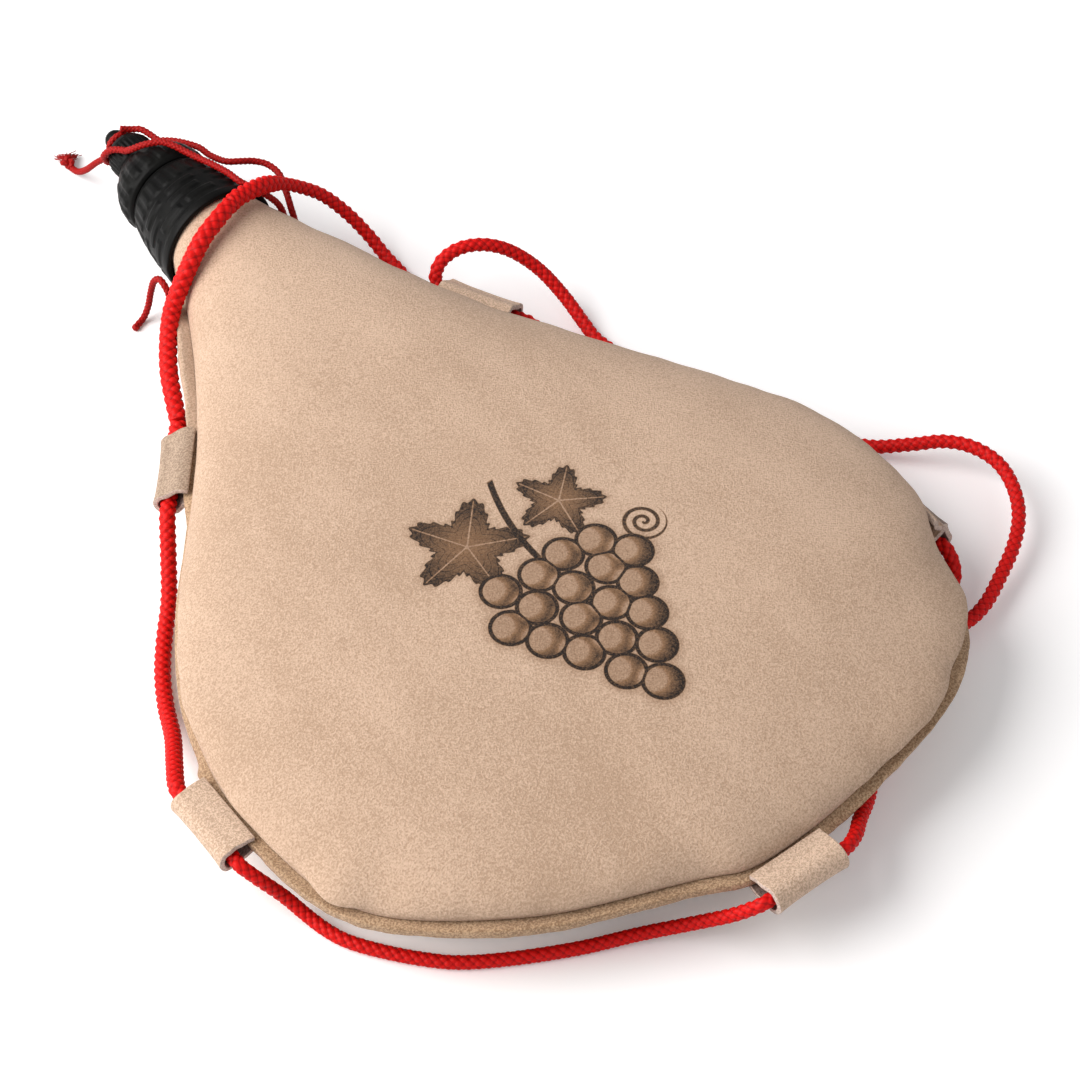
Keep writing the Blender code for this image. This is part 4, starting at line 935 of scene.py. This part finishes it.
def folded_loop(name, share, out, rise, seed, nap_suede):
    path = loop_profile(out * LOOP_REACH, rise * LOOP_REACH)
    here, heading = seam_place(share)
    away = Vector((math.cos(heading), math.sin(heading), 0.0))
    beside = Vector((-away.y, away.x, 0.0))
    inward, lower = LOOP_SKEW.get(name, (0.0, 0.0))
    centre = Vector((out * LOOP_REACH, rise * LOOP_REACH))
    bm = bmesh.new()
    bmesh.ops.create_grid(bm, x_segments=LOOP_STEPS, y_segments=LOOP_COLUMNS, size=1.0)
    for v in bm.verts:
        k = int(round((v.co.x + 1.0) * 0.5 * LOOP_STEPS))
        w = v.co.y
        t = k / LOOP_STEPS
        bow = math.sin(math.pi * t)
        # The mouths flare a little and the cut edges wander.
        fray = 0.35 * noise.noise(Vector((t * 9.0, seed * 3.1, w)))
        across = w * (0.5 * LOOP_WIDTH + fray - 0.3 * bow)
        swell = 0.35 * abs(w) ** 4 * bow - 0.12 * (1.0 - w * w) * bow
        swell += 0.10 * noise.noise(Vector((t * 5.0, w * 2.0, seed))) * bow
        spot = Vector(path[k])
        spot = spot + (spot - centre).normalized() * swell
        askew = across * float(eased_step(-spot.y / 6.0))
        v.co = (Vector((here[0], here[1], AXIS_Z)) + away * (spot.x + inward * askew) + beside * across
                + Vector((0.0, 0.0, spot.y + lower * askew))) * 0.001
    made = put_mesh(name, build_mesh(name, bm, False), [nap_suede, flesh_painted_shade_suede, cut_suede], "bag")
    wall = thickened(made, "strip_thickness", LOOP_THICK - 0.1, 0.0)
    wall.material_offset, wall.material_offset_rim = 1, 2
    soft = made.modifiers.new("soft_edges", "BEVEL")
    soft.width = 0.00025
    soft.segments = 2
    soft.limit_method = "ANGLE"
    soft.angle_limit = math.radians(50.0)
    return made


loop_suede = suede_material("loop_suede", (0.740, 0.535, 0.400), (0.480, 0.325, 0.225), 0.8, 1.4, 0.0006)
# The flesh side is painted dark brown, painted shade for the inside of the fold.
flesh_painted_shade_suede = suede_material("flesh_painted_shade_suede", (0.300, 0.215, 0.180), (0.160, 0.105, 0.085), 0.7, 1.2, 0.0005)
cut_suede = suede_material("cut_suede", (0.680, 0.550, 0.470), (0.440, 0.330, 0.280), 0.7, 1.4, 0.0006)
# A darker copy of the loop suede, painted shade for the upper left loop, which stands in shade.
loop_painted_shade_suede = suede_material("loop_painted_shade_suede", (0.530, 0.385, 0.280), (0.320, 0.220, 0.155), 0.8, 1.7, 0.0008)
for number, (seam_share, (loop_name, out_share, rise_share)) in enumerate(zip(LOOP_SEAM_SHARES, LOOP_PLACES), 1):
    nap_suede = loop_painted_shade_suede if loop_name == "loop_left_upper" else loop_suede
    strip = folded_loop(loop_name.replace("loop", "suede_loop"), seam_share, out_share, rise_share,
                        float(number), nap_suede)
    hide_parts(loop_name)


# --- Latex liner ------------------------------------------------------------------------------
# A dipped latex bag, 0.7 mm thick, hangs inside the leather and holds the wine. It is tied with it.
LINER_THICK, LINER_SLACK, LINER_INSET = 0.7, 0.8, 4.2
LINER_DROP = LEATHER + LINER_SLACK
LINER_HOLD = NECK_HOLD - LEATHER - 0.3
LINER_NECK = NECK_RADIUS - LINER_DROP
latex_paint, latex_tree, latex_shader = new_material("amber_latex", 0.42, Subsurface_Weight=0.15)
latex_where = object_place(latex_tree)
latex_tone = colour_ramp(latex_tree, rough_noise(latex_tree, latex_where, 60.0, 5.0, 0.6),
                         (0.0, (0.50, 0.33, 0.15)), (1.0, (0.74, 0.55, 0.32)))
feed(latex_tree, latex_shader.inputs["Base Color"], latex_tone)
bumped(latex_tree, latex_shader, rough_noise(latex_tree, latex_where, 900.0), 0.0002)


def liner_bag():
    """Two lofted skins joined along their edge, open at the neck."""
    bm = bmesh.new()
    for up, dome, floor in ((1.0, FRONT_DOME - LINER_DROP, FRONT_DOME),
                            (-1.0, BACK_DOME - LINER_DROP, AXIS_Z - LEATHER - 0.6)):
        rows, _, _ = lofted_half(LINER_INSET, LINER_NECK, 0.0, dome, floor,
                                 neck_heights(LINER_HOLD, LINER_NECK - LINER_HOLD), 60, 26, 30)
        laid_grid(bm, rows, up)
    bmesh.ops.remove_doubles(bm, verts=bm.verts, dist=0.00002)
    return build_mesh("latex_liner", bm)


liner = put_mesh("latex_liner", liner_bag(), latex_paint, "bag")
thickened(liner, "latex_thickness", LINER_THICK)
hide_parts("liner")


# --- Neck binding -----------------------------------------------------------------------------
# Waxed linen thread, 1.5 mm thick, wound three times round the leather neck over the insert.
BINDING_RADIUS, BINDING_LOW, BINDING_PITCH, BINDING_POINTS, BINDING_STEPS = 0.75, 7.0, 1.8, 76, 24
# The thread's tan, and a darker brown painted into the hollows of its twist: painted shade.
linen_paint = cord_material("waxed_linen", (0.46, 0.38, 0.26), (0.20, 0.15, 0.09), 0.0009, 0.7)
binding_reach = NECK_HOLD + 0.3 + BINDING_RADIUS
binding_run = []
for i in range(BINDING_POINTS + 1):
    turns = i / BINDING_STEPS
    binding_run.append(((COLLAR_X + binding_reach * math.cos(2.0 * math.pi * turns)) * MM,
                        (RIM_Y + BINDING_LOW + BINDING_PITCH * turns) * MM,
                        (AXIS_Z + binding_reach * math.sin(2.0 * math.pi * turns)) * MM))
binding_mesh = braided_tube("neck_binding", smooth_run(binding_run, 0.0003)[0], BINDING_RADIUS * MM, 4, 0.0012)
binding = put_mesh("neck_binding", binding_mesh, linen_paint, "bag")
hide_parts("binding_thread")


# --- Black collar parts -----------------------------------------------------------------------
# Injection-moulded black plastic with a satin face: a flared skirt over the tied neck and a bulged
# nozzle screwed on above it. Both have low moulded ribs to grip by; dust settles beside them.
PLASTIC_BLACK, PLASTIC_DUST = (0.003, 0.003, 0.003), (0.009, 0.009, 0.008)


def plastic_material(name, base, dust, roughness):
    """Moulded plastic: fine pitted face, slightly greyer and rougher in blotches."""
    paint, tree, shader = new_material(name, roughness, Specular_IOR_Level=0.14, IOR=1.35)
    where = object_place(tree)
    blotch = rough_noise(tree, where, 120.0, 6.0, 0.7)
    feed(tree, shader.inputs["Base Color"], colour_ramp(tree, blotch, (0.42, base), (0.85, dust)))
    feed(tree, shader.inputs["Roughness"],
         maths(tree, "MULTIPLY_ADD", blotch, 0.30, roughness - 0.13, clamp=True))
    bumped(tree, shader, rough_noise(tree, where, 1500.0, 3.0, 0.6), 0.00012, 0.35)
    return paint


def spun_part(name, profile, body, relief, spacing=0.45, closed=True, steps=192):
    """Turn a profile of (radius, height above the rim) about the collar's axis; relief moves its outside."""
    spots = []
    for a, b in zip(profile, profile[1:] + (profile[:1] if closed else [])):
        count = max(int(math.ceil(math.dist(a, b) / spacing)), 1)
        spots += [(a[0] + (b[0] - a[0]) * k / count, a[1] + (b[1] - a[1]) * k / count) for k in range(count)]
    if not closed:
        spots.append(profile[-1])
    middle_x, middle_z = COLLAR_X * MM, AXIS_Z * MM
    bm = bmesh.new()
    verts = [bm.verts.new(((COLLAR_X + max(r, 0.0)) * MM, (RIM_Y + h) * MM, middle_z)) for r, h in spots]
    edges = [bm.edges.new(pair) for pair in zip(verts, verts[1:] + (verts[:1] if closed else []))]
    bmesh.ops.spin(bm, geom=verts + edges, cent=(middle_x, 0.0, middle_z), axis=(0.0, 1.0, 0.0),
                   angle=2.0 * math.pi, steps=steps, use_merge=True)
    bmesh.ops.remove_doubles(bm, verts=bm.verts, dist=1e-6)
    for v in bm.verts:
        x, z = v.co.x - middle_x, v.co.z - middle_z
        r = math.hypot(x, z) / MM
        if r > 0.001:
            grown = 1.0 + relief(r, v.co.y / MM - RIM_Y, math.atan2(z, x)) / r
            v.co.x, v.co.z = middle_x + x * grown, middle_z + z * grown
    return put_mesh(name, build_mesh(name, bm), black_plastic, body)


def rounded(profile, corners, radius, count=5):
    """Round the named corners of a profile."""
    out = []
    for i, here in enumerate(profile):
        if i not in corners:
            out.append(here)
            continue
        a, b = Vector(profile[i - 1]), Vector(profile[(i + 1) % len(profile)])
        p = Vector(here)
        cut = min(radius, 0.45 * (a - p).length, 0.45 * (b - p).length)
        start, end = p + (a - p).normalized() * cut, p + (b - p).normalized() * cut
        for k in range(count + 1):
            t = k / count
            out.append(tuple(start * (1 - t) ** 2 + p * 2 * t * (1 - t) + end * t ** 2))
    return out


def bump_row(value, low, high, soft=0.35):
    """One inside a span of heights, nought outside, with soft sides."""
    return float(eased_step((value - low) / soft) * eased_step((high - value) / soft))


def rib_round(angle, count, width, low, high, soft, phase=0.0):
    """One on each of the ribs that stand evenly round the axis."""
    return bump_row((angle / (2.0 * math.pi) * count + phase) % 1.0 * width, low, high, soft)


black_plastic = plastic_material("satin_black_plastic", PLASTIC_BLACK, PLASTIC_DUST, 0.38)
SKIRT_DASHES = ((5.2, 9, 0.05, 0.80), (9.4, 7, 0.30, 0.72), (13.6, 8, 0.12, 0.78))
SKIRT_OUTSIDE = [(14.4, 27.4), (15.46, 25.2), (16.9, 20.0), (18.06, 14.0), (18.92, 8.0), (19.45, 3.2),
                 (19.6, 1.2), (19.5, 0.0)]
SKIRT_INSIDE = [(18.2, 0.0), (18.0, 1.0), (16.9, 7.9), (16.3, 13.4), (15.6, 15.6), (14.0, 17.2), (14.0, 21.5),
                (11.1, 21.5)]


def skirt_relief(r, h, angle):
    """A raised rim band, three broken rings and short upright ribs between them."""
    if r < np.interp(h, [0.0, 8.0, 27.4], [18.9, 17.9, 13.6]):
        return 0.0
    lift = 0.35 * bump_row(h, -1.0, 3.4, 0.5)
    for low, count, phase, share in SKIRT_DASHES:
        lift += 0.42 * bump_row(h, low, low + 2.7) * rib_round(angle, count, 10.0, 0.3, share * 10.0, 0.22, phase)
    lift += 0.40 * bump_row(h, 18.0, 25.4) * rib_round(angle, 24, 4.6, 0.5, 3.6, 0.35)
    return lift


skirt = spun_part("collar_skirt_ribbed", rounded([(11.1, 27.4)] + SKIRT_OUTSIDE + SKIRT_INSIDE, (1, 8, 9), 0.6),
                  "bag", skirt_relief)
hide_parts("collar_skirt")


# --- Nozzle -----------------------------------------------------------------------------------
# The bulge that screws on the threaded stub, with the drinking spout under the cap.
NOZZLE_TIP = [(1.3, 52.7), (4.8, 52.7), (4.8, 45.4)]
NOZZLE_OUTSIDE = [(8.4, 44.8), (9.4, 43.5), (11.0, 41.8), (12.6, 39.4), (13.9, 37.0), (14.9, 34.4),
                  (15.4, 31.6), (15.4, 29.6), (15.1, 28.5), (14.2, 27.8)]
NOZZLE_INSIDE = [(11.1, 27.8), (11.1, 35.0), (7.7, 35.0), (7.0, 38.6), (2.6, 45.0), (1.3, 49.8)]


def nozzle_relief(r, h, angle):
    """Upright ribs round the bulge, fading into the shoulder."""
    if r < np.interp(h, [27.8, 30.0, 44.8], [13.6, 14.4, 7.6]):
        return 0.0
    return 0.50 * bump_row(h, 29.4, 40.6, 1.2) * rib_round(angle, 18, 5.0, 0.5, 3.9, 0.6)


nozzle = spun_part("spout_nozzle", rounded(NOZZLE_TIP + NOZZLE_OUTSIDE + NOZZLE_INSIDE, (1,), 0.6), "nozzle",
                   nozzle_relief)
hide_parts("nozzle")


# --- Cap --------------------------------------------------------------------------------------
# A small thimble that screws over the spout, drawn in to a neck under a ball, which the thin cord is
# tied behind.
CAP_OUTSIDE = [(0.0, 63.6), (1.4, 63.4), (2.6, 62.6), (3.35, 61.4), (3.55, 60.2), (3.3, 59.2), (2.85, 58.3),
               (2.65, 57.4), (3.3, 56.5), (5.0, 55.7), (6.6, 54.6), (7.35, 53.0), (7.6, 51.0), (7.6, 46.4),
               (7.4, 45.6)]


def cap_relief(r, h, angle):
    """Fine grip ribs on the thimble."""
    if r < 6.4:
        return 0.0
    return 0.28 * bump_row(h, 46.6, 52.6, 0.6) * rib_round(angle, 30, 2.0, 0.2, 1.5, 0.3)


cap = spun_part("screw_cap", CAP_OUTSIDE + [(5.2, 45.6), (5.2, 54.1), (0.0, 54.1)], "cap", cap_relief, 0.3,
                False, 180)
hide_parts("cap")


# --- Insert, gasket and seal ------------------------------------------------------------------
# The threaded insert is the same black plastic; the gasket and the cap's seal are black rubber.
black_rubber = plastic_material("black_rubber", (0.020, 0.020, 0.020), (0.050, 0.048, 0.045), 0.75)
for hidden_node, paint in (("neck_insert", black_plastic), ("nozzle_gasket", black_rubber),
                           ("cap_seal", black_rubber)):
    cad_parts[hidden_node].data.materials.clear()
    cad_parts[hidden_node].data.materials.append(paint)
